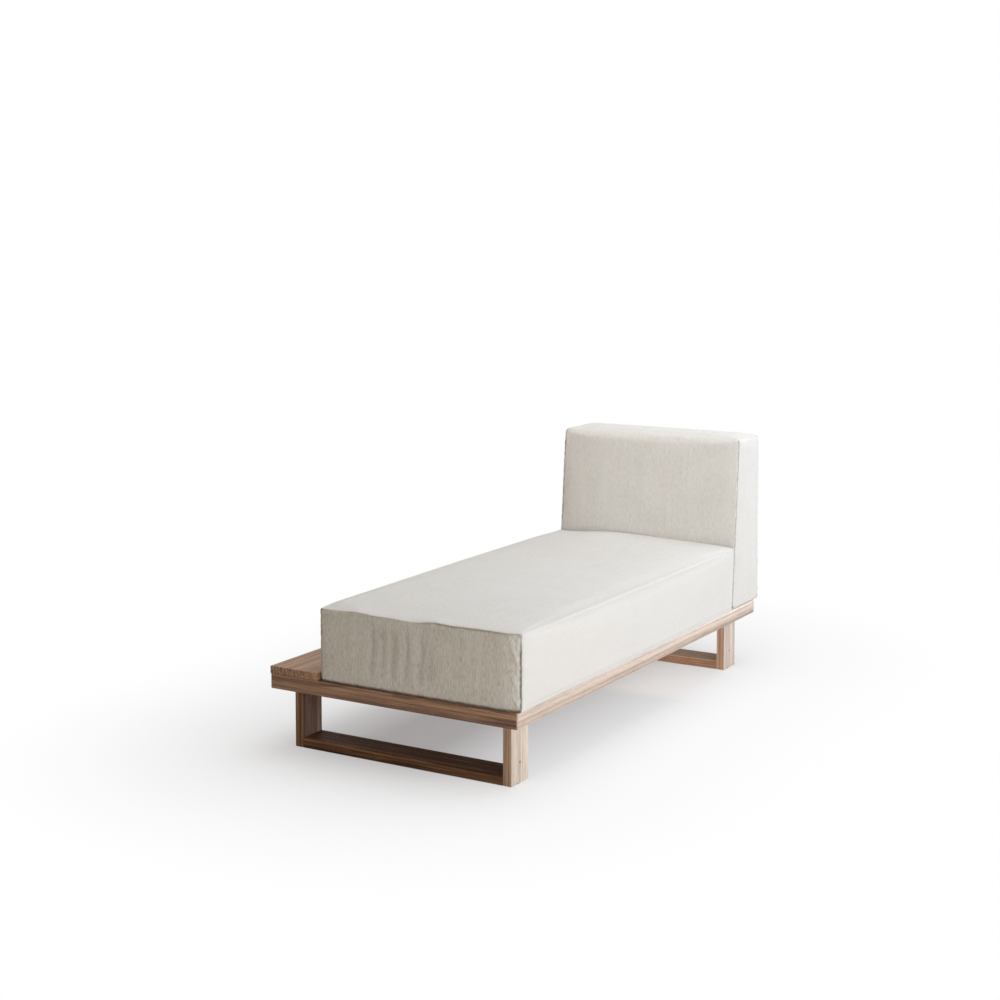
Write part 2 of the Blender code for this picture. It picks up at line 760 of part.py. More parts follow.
def cavity():
    """The hollow of the backrest's foam, open below, which the carcass fills."""
    low_z = BACK_BASE_Z - RAIL_HEIGHT
    high_z = CARCASS_TOP_Z + FIT
    corners = [
        (carcass_front(low_z) - FIT, low_z),
        (carcass_rear(low_z) + FIT, low_z),
        (carcass_rear(high_z) + FIT, high_z),
        (carcass_front(high_z) - FIT, high_z),
    ]
    half_width = CARCASS_HALF_WIDTH + FIT
    mesh = upright_slab("cavity", corners, CUSHION_MID_X - half_width, CUSHION_MID_X + half_width)
    return cutter("cavity", mesh)


cut(back_foam, cavity())


def back_bolts():
    """Bolts from under the rear bearer, through the slats, into the backrest's base."""
    bearer_front = LEG_Y["rear"] - LEG_DEPTH / 2
    bearer_rear = LEG_Y["rear"] + LEG_DEPTH / 2
    shared_front = max(bearer_front, carcass_front(BACK_BASE_Z))
    shared_rear = min(bearer_rear, carcass_rear(BACK_BASE_Z))
    recess = BACK_BOLT_HEAD_HEIGHT + HEAD_PLAY
    seat_z = RIM_Z + recess
    for side, way in SIDES.items():
        screw_in(
            f"back_bolt_{side}",
            (
                CUSHION_MID_X + way * (CUSHION_HALF_WIDTH - BACK_BOLT_INSET),
                (shared_front + shared_rear) / 2,
                seat_z,
            ),
            True,
            (BACK_BOLT_HEAD_RADIUS, BACK_BOLT_HEAD_HEIGHT),
            BACK_BOLT_RADIUS,
            BACK_BASE_Z - seat_z + BACK_BOLT_BITE,
            recess,
            (BEARERS["rear"], *SLATS, back_base),
        )


back_bolts()
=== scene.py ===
# %% [markdown]
# # Dressing a chaise longue
#
# The CAD frame already has every board, screw and cushion core in its place. This lesson dresses it:
# oiled wood for the boards, a slubbed linen cover for the two upholstered blocks, a white studio round it.
# The sizes come from the frame itself, so a board or cushion made here lies exactly on its solid.

# %% Load the frame
import math

import bpy
import numpy as np
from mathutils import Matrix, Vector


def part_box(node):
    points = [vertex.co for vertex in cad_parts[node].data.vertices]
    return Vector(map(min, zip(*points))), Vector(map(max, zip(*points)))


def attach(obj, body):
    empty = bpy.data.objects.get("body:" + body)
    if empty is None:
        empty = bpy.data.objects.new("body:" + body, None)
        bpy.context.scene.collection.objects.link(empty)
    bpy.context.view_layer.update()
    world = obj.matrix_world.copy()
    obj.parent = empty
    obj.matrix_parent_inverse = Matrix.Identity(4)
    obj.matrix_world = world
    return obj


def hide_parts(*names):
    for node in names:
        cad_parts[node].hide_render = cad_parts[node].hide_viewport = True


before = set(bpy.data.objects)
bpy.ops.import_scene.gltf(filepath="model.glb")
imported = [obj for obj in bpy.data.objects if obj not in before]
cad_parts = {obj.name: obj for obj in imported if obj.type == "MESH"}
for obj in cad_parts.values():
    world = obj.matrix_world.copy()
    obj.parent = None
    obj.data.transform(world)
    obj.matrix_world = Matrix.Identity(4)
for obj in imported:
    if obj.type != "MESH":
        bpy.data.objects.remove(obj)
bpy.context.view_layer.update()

# %% [markdown]
# ## The camera
#
# The verticals in the photograph are almost parallel, as with a view camera whose back stays upright.
# Tilting the camera a little and shifting its lens down gives nearly the same picture, and a smaller shift
# keeps the object in the frame when the camera is taken to its other sides. Its place comes from
# a two-point perspective, solved from the edges of the rim, the legs and the cushion.

# %% Camera
lens = bpy.data.cameras.new("photo_camera")
lens.sensor_width = 36.0
lens.lens = 63.03
lens.shift_y = -0.13
camera = bpy.data.objects.new("photo_camera", lens)
camera.location = (2.7768, -4.8991, 1.588)
camera.rotation_euler = (math.radians(84.971), 0.0, 0.53658)
bpy.context.scene.collection.objects.link(camera)
bpy.context.scene.camera = camera
bpy.context.scene.view_settings.view_transform = "Standard"
print("camera at", [round(c, 3) for c in camera.location])

# %% [markdown]
# ## Shader maths as plain arithmetic
#
# A material is a graph of nodes. Wiring each Math node by hand hides the formula, so one small class wraps
# an output socket: adding or multiplying two of them adds the Math node that does it. Any other node comes
# from one method, which sets the node up first and then fills its inlets with numbers or links.


# %% The socket class
class Socket:
    """One output of a node. Python's operators on it become Math nodes in the same tree."""

    def __init__(self, tree, output=None):
        self.tree = tree
        self.output = output

    def node(self, kind, settings=None, inlets=None, outlet=0):
        """Adds a node: first its settings (stops for a colour ramp), then each inlet's value or link."""
        made = self.tree.nodes.new(kind)
        for key, value in (settings or {}).items():
            if key == "stops":
                ramp = made.color_ramp
                while len(ramp.elements) < len(value):
                    ramp.elements.new(1.0)
                for element, (position, colour) in zip(ramp.elements, value):
                    element.position = position
                    element.color = (*colour, 1.0)
            else:
                setattr(made, key, value)
        for key, value in (inlets or {}).items():
            if isinstance(value, Socket):
                self.tree.links.new(value.output, made.inputs[key])
            else:
                made.inputs[key].default_value = value
        return Socket(self.tree, made.outputs[outlet]) if len(made.outputs) else made

    def math(self, operation, *others):
        """A Math node with this socket as its first value."""
        return self.node("ShaderNodeMath", {"operation": operation}, dict(enumerate((self, *others))))

    def vector_math(self, operation, *others, outlet=0):
        """A Vector Math node with this socket as its first vector."""
        inlets = dict(enumerate((self, *others)))
        return self.node("ShaderNodeVectorMath", {"operation": operation}, inlets, outlet)

    def __add__(self, other):
        return self.math("ADD", other)

    __radd__ = __add__

    def __sub__(self, other):
        return self.math("SUBTRACT", other)

    def __rsub__(self, other):
        return self.math("MULTIPLY_ADD", -1.0, other)

    def __mul__(self, other):
        return self.math("MULTIPLY", other)

    __rmul__ = __mul__

    def __truediv__(self, other):
        return self.math("DIVIDE", other)

    def __rtruediv__(self, other):
        return self.math("POWER", -1.0) * other


def start_finish(name):
    """An empty material and a socket to begin its expressions from."""
    material = bpy.data.materials.new(name)
    material.use_nodes = True
    material.node_tree.nodes.clear()
    return material, Socket(material.node_tree)


def end_finish(start, inlets):
    """A Principled shader with these inlets, linked to the output of the material."""
    shader = start.node("ShaderNodeBsdfPrincipled", None, inlets)
    start.node("ShaderNodeOutputMaterial", None, {0: shader})


def split(vector):
    """The three numbers of a vector, from one Separate node."""
    first = vector.node("ShaderNodeSeparateXYZ", None, {0: vector})
    return [Socket(vector.tree, output) for output in first.output.node.outputs]


def join(x, y, z):
    """A vector from three numbers, at least one of them a socket."""
    known = next(part for part in (x, y, z) if isinstance(part, Socket))
    return known.node("ShaderNodeCombineXYZ", None, {0: x, 1: y, 2: z})


def noise(vector, detail=2.0, roughness=0.5):
    """Smooth noise about 0.5, whose scale is already in the vector."""
    inlets = {"Vector": vector, "Scale": 1.0, "Detail": detail, "Roughness": roughness}
    return vector.node("ShaderNodeTexNoise", None, inlets)


def rise(value, low, high):
    """0 below low, 1 above high, and a smooth step between them."""
    inlets = {"Value": value, "From Min": low, "From Max": high}
    return value.node("ShaderNodeMapRange", {"interpolation_type": "SMOOTHSTEP"}, inlets)


def blend_colour(share, first, second, way="MIX"):
    """Mixes two colours, either of them a socket or three numbers, by a share from 0 to 1."""
    first, second = (c if isinstance(c, Socket) else (*c, 1.0) for c in (first, second))
    settings = {"data_type": "RGBA", "blend_type": way}
    return share.node("ShaderNodeMix", settings, {0: share, 6: first, 7: second}, 2)


print("shader helpers ready")

# %% [markdown]
# ## Floor, background and light
#
# The photograph is a studio picture on white: a large soft light behind the right shoulder of the piece
# bleaches every right-hand face, the fronts see only warm bounce, and a grey shadow lies round the legs.
# The white comes from the floor's and the world's own colour for camera rays: the floor is grey on an
# oblong under the piece and fades to white round it. What the piece receives is a dim warm surround and
# six soft lamps. One of them, small and amber below the frame, stands for the light that a white floor
# throws back on the rear leg. A seventh only shines, on the faces that are turned to the rear right.

# %% World
world = bpy.data.worlds.new("white_studio")
world.use_nodes = True
world.node_tree.nodes.clear()
sky = Socket(world.node_tree)


def seen_directly(start):
    """1 for camera, glossy and transmission rays, which see the background, and 0 for all others."""
    rays = start.node("ShaderNodeLightPath").output.node.outputs
    direct = Socket(start.tree, rays["Is Camera Ray"]) + Socket(start.tree, rays["Is Glossy Ray"])
    return (direct + Socket(start.tree, rays["Is Transmission Ray"])).math("MINIMUM", 1.0)


SURROUND = (0.205, 0.170, 0.124, 1.0)
WHITE = (1.0, 1.0, 1.0, 1.0)
surround_light = sky.node("ShaderNodeBackground", None, {"Color": SURROUND, "Strength": 1.0})
white_ground = sky.node("ShaderNodeBackground", None, {"Color": WHITE, "Strength": 1.0})
by_ray = {0: seen_directly(sky), 1: surround_light, 2: white_ground}
background = sky.node("ShaderNodeMixShader", None, by_ray)
sky.node("ShaderNodeOutputWorld", None, {0: background})
bpy.context.scene.world = world
print("world made")

# %% Floor
BOUNCE_TONE, FLOOR_TONE, FLOOR_GLOW = (0.82, 0.79, 0.74, 1.0), (0.54, 0.54, 0.55, 1.0), 0.30
OBLONG_CENTRE, OBLONG_HALF, FADE = (-0.115, 0.08, 0), (0.10, 0.71, 0), 1.225
floor_finish, floor_start = start_finish("white_floor")
dull = floor_start.node("ShaderNodeBsdfDiffuse", None, {"Color": BOUNCE_TONE})
pale = floor_start.node("ShaderNodeBsdfDiffuse", None, {"Color": FLOOR_TONE})
white = floor_start.node("ShaderNodeEmission", None, {"Color": WHITE, "Strength": 1.0})
outside = floor_start.node("ShaderNodeTexCoord", outlet="Object")
OUT_OF_OBLONG = (
    ("SUBTRACT", OBLONG_CENTRE),
    ("ABSOLUTE", (0, 0, 0)),
    ("SUBTRACT", OBLONG_HALF),
    ("MAXIMUM", (0, 0, 0)),
)
for operation, second in OUT_OF_OBLONG:
    outside = outside.vector_math(operation, second)
reach = outside.vector_math("LENGTH", outlet="Value")
glow = floor_start.node("ShaderNodeEmission", None, {"Color": WHITE, "Strength": FLOOR_GLOW})
near = floor_start.node("ShaderNodeAddShader", None, {0: pale, 1: glow})
whiter = rise(reach, 0.0, FADE).math("SQRT")
shown = reach.node("ShaderNodeMixShader", None, {0: whiter, 1: near, 2: white})
by_ray = {0: seen_directly(floor_start), 1: dull, 2: shown}
surface = floor_start.node("ShaderNodeMixShader", None, by_ray)
floor_start.node("ShaderNodeOutputMaterial", None, {0: surface})
floor_mesh = bpy.data.meshes.new("studio_floor")
FLOOR_HALF = 60.0
floor_corners = FLOOR_HALF * np.array([(-1, -1, 0), (1, -1, 0), (1, 1, 0), (-1, 1, 0)])
floor_mesh.from_pydata(floor_corners.tolist(), [], [(0, 1, 2, 3)])
floor_mesh.materials.append(floor_finish)
floor = bpy.data.objects.new("studio_floor", floor_mesh)
bpy.context.scene.collection.objects.link(floor)
print("floor made")

# %% Lamps


def soft_lamp(name, place, aim, size, power, colour, shine_only=False, spread=180):
    """A rectangular softbox at a place, turned to face a point, whose beam a grid can narrow.

    It tips by the angle between straight down and the aim, and turns to the aim's side. A lamp for
    shine only makes reflections and lights no matt surface.
    """
    light = bpy.data.lights.new(name, "AREA")
    light.shape = "RECTANGLE"
    light.size, light.size_y = size
    light.energy = power
    light.color = colour
    light.spread = math.radians(spread)
    lamp = bpy.data.objects.new(name, light)
    lamp.location = place
    away = np.array(place, float) - np.array(aim, float)
    level = math.hypot(away[0], away[1])
    lamp.rotation_euler = (math.atan2(level, away[2]), 0.0, math.atan2(away[0], -away[1]))
    lamp.visible_camera = False
    lamp.visible_diffuse = not shine_only
    bpy.context.scene.collection.objects.link(lamp)
    return lamp


BLUISH, COOL, CLEAR = (0.84, 0.92, 1.10), (0.84, 0.92, 1.0), (0.89, 0.93, 0.98)
MILD, WARM, AMBER = (0.96, 0.95, 0.92), (1.0, 0.93, 0.80), (1.0, 0.77, 0.62)
MIDDLE, RIGHT_HALF = (0.0, 0.0, 0.3), (0.1, 0.0, 0.3)
BACKREST, REAR_FOOT = (0.1, 0.65, 1.0), (0.22, 0.66, 0.05)
soft_lamp("rear_right_panel", (2.6, 3.9, 2.3), RIGHT_HALF, (4.5, 2.4), 66.0, COOL)
soft_lamp("right_softbox", (4.3, -0.5, 1.45), MIDDLE, (2.4, 2.4), 61.0, BLUISH)
soft_lamp("top_softbox", (0.5, 0.5, 4.0), MIDDLE, (3.0, 3.0), 103.0, CLEAR)
soft_lamp("front_fill", (3.0, -2.4, 0.8), MIDDLE, (1.6, 1.0), 25.5, WARM)
soft_lamp("backrest_fill", (1.2, -3.2, 2.2), BACKREST, (0.8, 0.8), 1.15, MILD, spread=26)
soft_lamp("rear_leg_fill", (0.30, 0.05, 0.165), REAR_FOOT, (0.30, 0.04), 0.24, AMBER, spread=64)
soft_lamp("rear_right_shine", (3.1, 3.9, 1.3), RIGHT_HALF, (4.5, 2.4), 720.0, COOL, shine_only=True)
print("seven softboxes placed")

# %% [markdown]
# ## The wood
#
# The boards look like oiled walnut or teak: straight, streaky figure, dark late-wood lines a few
# millimetres apart, fine open pores. A picture of wood would have to be wrapped on each board. A solid
# texture needs none of that: it is worked out in space, so a board's faces and its end grain show
# the same growth rings, cut in different directions. Each finish says which way its fibres run
# and how much it shines.

# %% Wood finish
OILED_STOPS = [
    (0.0, (0.070, 0.034, 0.020)),
    (0.34, (0.190, 0.098, 0.057)),
    (0.60, (0.345, 0.190, 0.110)),
    (1.0, (0.520, 0.315, 0.185)),
]
# Ends of the paler, greyer colour that a high paleness mixes in: painted light for faces lit from the
# right.
PAINTED_LIGHT_DARK, PAINTED_LIGHT_PALE = (0.50, 0.40, 0.305), (0.74, 0.635, 0.525)
PORE_DARK = (0.075, 0.038, 0.022)
KNOT_SCALE = (160.0, 230.0, 200.0)
STAVE_SHIFT, STAVE_TURN = 3.7, 0.21
END_SKIN, STRIPES_FROM, STRIPES_TO = 0.0008, 0.107, 0.134


def streaked_wood(
    name, along, pith, shift=0.0, ring=0.0085, bold=0.0, knots=(), stave_edge=None, end=None, shine=0.5
):
    """Oiled wood whose fibres run along one axis.

    The ring number is the distance from a pith line beside the board over the ring spacing, drifting
    slowly along the fibre. Streaks and fibres are noise drawn out along the same axis, and bold adds
    broad dark bands. A knot is a small dark ellipse at a point. A stave edge starts a second glued board
    at that x. Rings show more on the left part of an end face, given by its lower left corner. The
    paleness of a piece is painted light: it lifts the tone and, above one half, mixes in a paler, greyer
    colour for faces that the light from the right washes out, and below zero it darkens boards in shade.
    Shine is how strongly the oil reflects.
    """
    material, start = start_finish(name)
    place = start.node("ShaderNodeTexCoord", outlet="Object")
    x, y, z = split(place)
    axes = [x, y, z]
    fibre_way = axes.pop("xyz".index(along))
    across, through = axes
    fibre_way = fibre_way + shift
    if stave_edge is not None:
        second = x.math("GREATER_THAN", stave_edge)
        fibre_way = fibre_way + second * STAVE_SHIFT
        through = through + second * STAVE_TURN

    def drawn(length_scale, width_scale, detail=2.0, roughness=0.5):
        """Noise about 0, drawn out along the fibres."""
        spread = join(fibre_way * length_scale, across * width_scale, through * width_scale)
        return noise(spread, detail, roughness) - 0.5

    drift = drawn(1.6, 5.0)
    beside = across + drift * 0.014 + drawn(7.0, 30.0) * 0.004 - pith[0]
    below = through + drift * 0.008 - pith[1]
    rings = (beside * beside + below * below).math("SQRT") / ring + drawn(0.8, 24.0) * 1.2
    share = rings.math("FRACT")
    late_wood = rise(share, 0.25, 0.92) * (1 - rise(share, 0.93, 1.0))
    ring_depth = 0.32
    if end is not None:
        fading = rise(x, end[0] + STRIPES_FROM, end[0] + STRIPES_TO)
        striped = y.math("LESS_THAN", end[1] + END_SKIN) * (1 - fading)
        ring_depth = 0.12 + striped * 0.36
    streaks = drawn(1.0, 95.0, 3.0, 0.6)
    fibres = drawn(9.0, 480.0, 3.0, 0.6)
    bands = drawn(0.7, 42.0) * bold
    pores = rise(drawn(34.0, 1500.0, 1.0), 0.10, 0.20)
    board = start.node("ShaderNodeAttribute", {"attribute_name": "paleness"}, outlet="Fac")
    tone = 0.56 + streaks * 1.7 + fibres * 1.3 + bands - late_wood * ring_depth + board * 0.25
    colour = tone.node("ShaderNodeValToRGB", {"stops": OILED_STOPS}, {0: tone})
    # Painted light: above one half, the paleness blends in the paler, greyer colour.
    painted_light = blend_colour(rise(tone, 0.45, 1.0), PAINTED_LIGHT_DARK, PAINTED_LIGHT_PALE)
    colour = blend_colour((board - 0.5).math("MAXIMUM", 0.0), colour, painted_light)
    colour = blend_colour(pores * 0.45, colour, PORE_DARK)
    for knot in knots:
        scaled = place.vector_math("SUBTRACT", knot).vector_math("MULTIPLY", KNOT_SCALE)
        spread = scaled.vector_math("LENGTH", outlet="Value")
        colour = blend_colour((1 - rise(spread, 0.55, 1.2)) * 0.85, colour, PORE_DARK)
    height = fibres * 0.6 - pores
    bump = height.node("ShaderNodeBump", None, {"Strength": 0.25, "Distance": 0.0006, "Height": height})
    inlets = {
        "Base Color": colour,
        "Roughness": 0.50 + (1 - tone) * 0.12 + pores * 0.15,
        "Normal": bump,
        "Specular IOR Level": shine,
    }
    end_finish(start, inlets)
    return material


wood_across = streaked_wood("oiled_wood_across", "x", (0.9, 0.45))
wood_lengthways = streaked_wood("oiled_wood_lengthways", "y", (0.6, -0.9), ring=0.015)
print("wood finishes for boards across and along the frame")

# %% [markdown]
# ## Boards
#
# A planed board is a box with its edges eased by a pass of sandpaper. Blender's Bevel would do, but a
# formula is as short: cut a box into a lattice, hold each outside point to an inner box that is smaller by
# the edge radius, and push it back out by that radius. Flat faces stay where they were and every edge and
# corner turns into part of a cylinder or ball.

# %% Box skins and rounded boards
# A point nearer to a face than ON_FACE counts as on it. A cut HOLD_FLAT behind an eased edge keeps the
# face flat.
ON_FACE, HOLD_FLAT = 0.0005, 0.0015
SHARP_FROM = math.radians(40)


def box_skin(cuts):
    """The outside of a box cut at the given places along x, y and z, as points and outward quads.

    Each of the six sides is the grid of its two directions; points shared by sides are merged by their
    number in the lattice. The third result says which side a quad is on: 0 and 1 for x, 2 and 3 for y, ...
    """
    counts = [len(places) for places in cuts]
    quads, sides = [], []
    for axis in range(3):
        first, second = (axis + 1) % 3, (axis + 2) % 3
        i, j = np.meshgrid(np.arange(counts[first] - 1), np.arange(counts[second] - 1), indexing="ij")
        for end in (0, 1):
            corners = []
            for step_i, step_j in ((0, 0), (1, 0), (1, 1), (0, 1)):
                lattice = [None, None, None]
                lattice[axis] = np.full(i.shape, end * (counts[axis] - 1))
                lattice[first] = i + step_i
                lattice[second] = j + step_j
                corners.append(np.ravel_multi_index(lattice, counts).ravel())
            side = np.stack(corners, -1)
            quads.append(side if end else side[:, ::-1])
            sides.append(np.full(len(side), 2 * axis + end))
    numbers, merged = np.unique(np.concatenate(quads), return_inverse=True)
    lattice = np.unravel_index(numbers, counts)
    points = np.stack([np.asarray(places)[index] for places, index in zip(cuts, lattice)], -1)
    return points, merged.reshape(-1, 4), np.concatenate(sides)


def round_edges(points, low, high, radius):
    """Holds each point to the inner box, then pushes it out by the radius along the same direction."""
    low, high, radius = np.asarray(low), np.asarray(high), np.asarray(radius)
    core = np.clip(points, low + radius, high - radius)
    away = (points - core) / radius
    return core + radius * away / np.linalg.norm(away, axis=1, keepdims=True)


def dress(name, points, faces, finish, body, slot, *nodes, paleness=0.0):
    """A smooth-shaded piece of points and faces that rides on a body and stands for its CAD nodes."""
    mesh = bpy.data.meshes.new(name)
    mesh.from_pydata(points.tolist(), [], faces)
    mesh.polygons.foreach_set("use_smooth", np.ones(len(mesh.polygons), bool))
    mesh.set_sharp_from_angle(angle=SHARP_FROM)
    mesh.materials.append(finish)
    tone = mesh.attributes.new("paleness", "FLOAT", "POINT")
    tone.data.foreach_set("value", np.broadcast_to(paleness, len(points)).astype(np.float32))
    made = bpy.data.objects.new(name, mesh)
    bpy.context.scene.collection.objects.link(made)
    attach(made, body)
    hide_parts(*nodes)
    return made


def eased_cuts(low, high, radius):
    """Cuts that turn an edge in 15 degree steps and hold the flat face just behind it."""
    steps = radius * (1 - np.tan(np.radians((45, 30, 15, 0))))
    steps = np.append(steps, radius + HOLD_FLAT)
    return np.concatenate([low + steps, (high - steps)[::-1]])


def eased_board(name, finish, node, paleness=0.0, right_face=None, radius=0.0018):
    """A board with eased edges in the place of a CAD node; its right face may be painted paler than the
    rest, as painted light from the right.
    """
    low, high = (np.array(corner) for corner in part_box(node))
    cuts = [eased_cuts(low[k], high[k], radius) for k in range(3)]
    points, quads, _ = box_skin(cuts)
    points = round_edges(points, low, high, radius)
    # The right face's own paleness is painted light.
    if right_face is not None:
        paleness = np.where(points[:, 0] > high[0] - ON_FACE, right_face, paleness)
    return dress(name, points, quads.tolist(), finish, "frame", "hardwood", node, paleness=paleness)


print("board helpers ready")

# %% [markdown]
# ### The sled legs
#
# Each leg is a flat loop: two standing boards that reach the floor, and a foot board let in between them.
# Their fibres run along each board, upright in the standing ones. The right-hand standing boards show
# a small knot on their outer face, which the finish takes as a point. Each board has a paleness, and
# a standing one a second for its right face: painted light, paler where the light from the right and
# from the floor falls and darker in shade. The left-hand boards and the feet have a duller finish: on the
# feet it keeps the shine lamp from whitening their tops from the left.

# %% Legs
KNOT_HEIGHT = 0.0635
knots = []
for end in ("front", "rear"):
    low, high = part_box(f"leg_upright_{end}_right")
    knots.append((high.x, (low.y + high.y) / 2, KNOT_HEIGHT))
wood_right = streaked_wood("oiled_wood_upright", "z", (0.8, 1.3), bold=1.6, knots=knots)
wood_left = streaked_wood("oiled_wood_upright_left", "z", (0.8, 1.3), bold=2.4, shine=0.22)
wood_foot = streaked_wood("oiled_wood_foot", "x", (0.9, 0.45), shine=0.08)
# Paleness of each standing board and of its right face: painted light, paler where light from the right
# falls, darker in shade.
UPRIGHT_PALENESS = {
    "front_left": (0.2, -0.5),
    "front_right": (0.75, 1.4),
    "rear_left": (0.6, 0.6),
    "rear_right": (0.88, 1.15),
}
# Painted light: the rear foot paler for the light the floor throws back on it, the front foot darker in
# the shade of the seat.
FOOT_PALENESS = {"front": -0.85, "rear": 0.80}
for corner, (paleness, right_face) in UPRIGHT_PALENESS.items():
    finish = wood_left if corner.endswith("left") else wood_right
    eased_board(f"standing_board_{corner}", finish, f"leg_upright_{corner}", paleness, right_face)
for end, paleness in FOOT_PALENESS.items():
    eased_board(f"foot_{end}", wood_foot, f"foot_board_{end}", paleness)
print("two sled legs of three boards each")

# %% [markdown]
# ### The shelf
#
# The plank beside the cushion is glued up from two staves. Its front end shows upright lines, which is
# how a board looks whose growth rings stand on edge: the pith lies far to its side.

# %% Shelf
shelf_low, shelf_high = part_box("side_shelf")
STAVE_WIDTH = 0.047
wood_shelf = streaked_wood(
    "oiled_wood_shelf",
    "y",
    (-1.6, 0.2),
    shift=0.9,
    ring=0.0105,
    stave_edge=shelf_low.x + STAVE_WIDTH,
    end=shelf_low,
)
eased_board("shelf_plank", wood_shelf, "side_shelf", 0.4)
print("shelf", round(shelf_high.x - shelf_low.x, 3), "m wide")

# %% [markdown]
# ### The mitred rim
#
# Four rails meet at mitred corners, rounded a little where hands and shins touch them, and each has a
# rebate inside for the slats. The rail is one profile carried along a straight path. Near a corner the
# outline is bent into the corner's arc: a point's distance from the arc's square corner keeps its larger
# part and becomes a radius. The same rule gives all four rails.

# %% Rim rails


def rounded_profile(corners, radii, steps=3):
    """A closed outline whose corners are arcs, each a quarter turn between its two tangent points."""
    corners = np.array(corners, float)
    before = np.roll(corners, 1, axis=0) - corners
    after = np.roll(corners, -1, axis=0) - corners
    before /= np.linalg.norm(before, axis=1, keepdims=True)
    after /= np.linalg.norm(after, axis=1, keepdims=True)
    radii = np.array(radii)[:, None, None]
    turn = np.radians(np.linspace(0, 90, steps + 1))[None, :, None]
    centre = (corners + radii[:, 0] * (before + after))[:, None]
    sweep = centre - radii * (np.cos(turn) * after[:, None] + np.sin(turn) * before[:, None])
    return sweep.reshape(-1, 2)


RIM_ROUND = 0.007
PLAY = 0.0003
RAIL_THICK, RAIL_WALL = 0.026, 0.014
OUTER_EASE, INNER_EASE, UNEASED = 0.0016, 0.0012, 0.00001


def rim_rail(name, finish, node, length, to_world, paleness=(0.0, 0.0)):
    """A rail from its rebated profile (distance inward, height) carried between two mitres.

    Its paleness is given for its front and its rear end.
    """
    low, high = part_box(node)
    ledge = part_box("slat_1")[0].z - PLAY
    outer = [(0, low.z), (0, high.z)]
    rebate = [(RAIL_WALL, high.z), (RAIL_WALL, ledge), (RAIL_THICK, ledge)]
    corners = [*outer, *rebate, (RAIL_THICK, low.z)]
    eases = [OUTER_EASE, OUTER_EASE, INNER_EASE, UNEASED, INNER_EASE, OUTER_EASE]
    profile = rounded_profile(corners, eases)
    inward, height = profile[:, 0], profile[:, 1]
    from_end = RIM_ROUND * np.array([0, 0.25, 0.5, 0.75, 1.0, 1.3])
    half = length / 2 - PLAY
    along = np.concatenate([from_end, 2 * half - from_end[::-1]])
    toward = np.where(along < half, 1.0, -1.0)[:, None]
    place = (along - half)[:, None] + toward * inward
    depth = np.broadcast_to(inward, place.shape)
    past = np.abs(place) - (half - RIM_ROUND)
    out = RIM_ROUND - depth
    bent = (past > 0) & (out > 0)
    shrink = np.where(bent, np.maximum(past, out) / np.hypot(past, out), 1.0)
    place = np.where(bent, np.sign(place) * (half - RIM_ROUND + past * shrink), place)
    depth = np.where(bent, RIM_ROUND - out * shrink, depth)
    level = np.broadcast_to(height, place.shape)
    points = np.stack([*to_world(place, depth), level], -1).reshape(-1, 3)
    rows, columns = place.shape
    i, j = np.meshgrid(np.arange(rows - 1), np.arange(columns), indexing="ij")
    near, far = i * columns + j, i * columns + (j + 1) % columns
    quads = np.stack([near, far, far + columns, near + columns], -1).reshape(-1, 4)
    first_end = list(range(columns))[::-1]
    last_end = list(range((rows - 1) * columns, rows * columns))
    faces = quads.tolist() + [first_end, last_end]
    tone = np.interp(points[:, 1], (low.y, high.y), paleness)
    return dress(name, points, faces, finish, "frame", "hardwood", node, paleness=tone)


right_x = -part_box("left_rail")[0].x
front_y, rear_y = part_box("front_rail")[0].y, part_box("rear_rail")[1].y
mid_y, rim_length = (front_y + rear_y) / 2, rear_y - front_y
rim_rail("rim_front", wood_across, "front_rail", 2 * right_x, lambda u, d: (u, front_y + d))
rim_rail("rim_rear", wood_across, "rear_rail", 2 * right_x, lambda u, d: (-u, rear_y - d))
# The right rail's paleness is painted light from the right, less towards its rear end.
rim_rail(
    "rim_right",
    wood_lengthways,
    "right_rail",
    rim_length,
    lambda u, d: (right_x - d, mid_y + u),
    paleness=(1.06, 0.78),
)
rim_rail("rim_left", wood_lengthways, "left_rail", rim_length, lambda u, d: (d - right_x, mid_y - u))
print("rim", round(2 * right_x, 3), "by", round(rim_length, 3), "m")

# %% [markdown]
# ## Slats, bearers and fixings
#
# What lies under the cushions keeps its CAD shape: slats, bearers, splines and tenons get the same wood,
# the carcass inside the backrest gets birch plywood, the screws zinc, and the glides black nylon.

# %% Plain finishes for the hidden pieces
VENEER = 0.003


def birch_plywood():
    """Pale veneer: long soft streaks along x, and thin darker glue lines where the layers show."""
    material, start = start_finish("birch_plywood")
    x, y, z = split(start.node("ShaderNodeTexCoord", outlet="Object"))
    streaks = noise(join(x * 3.0, y * 60.0, z * 60.0), 3.0)
    layers = rise(((y + z) / VENEER).math("PINGPONG", 0.5), 0.36, 0.46)
    colour = blend_colour(streaks, (0.46, 0.34, 0.22), (0.66, 0.53, 0.37))
    colour = blend_colour(layers * 0.25, colour, (0.30, 0.19, 0.11))
    inlets = {"Base Color": colour, "Roughness": 0.6 + streaks * 0.2}
    end_finish(start, inlets)
    return material


def speckled(name, dark, pale, scale, metallic, roughness):
    """A plain moulded or plated surface: two close tones and a roughness that vary in fine specks."""
    material, start = start_finish(name)
    place = start.node("ShaderNodeTexCoord", outlet="Object")
    x, y, z = split(place)
    specks = noise(join(x * scale, y * scale, z * scale), 3.0)
    inlets = {
        "Base Color": blend_colour(specks, dark, pale),
        "Roughness": roughness + (specks - 0.5) * 0.3,
        "Metallic": metallic,
    }
    end_finish(start, inlets)
    return material


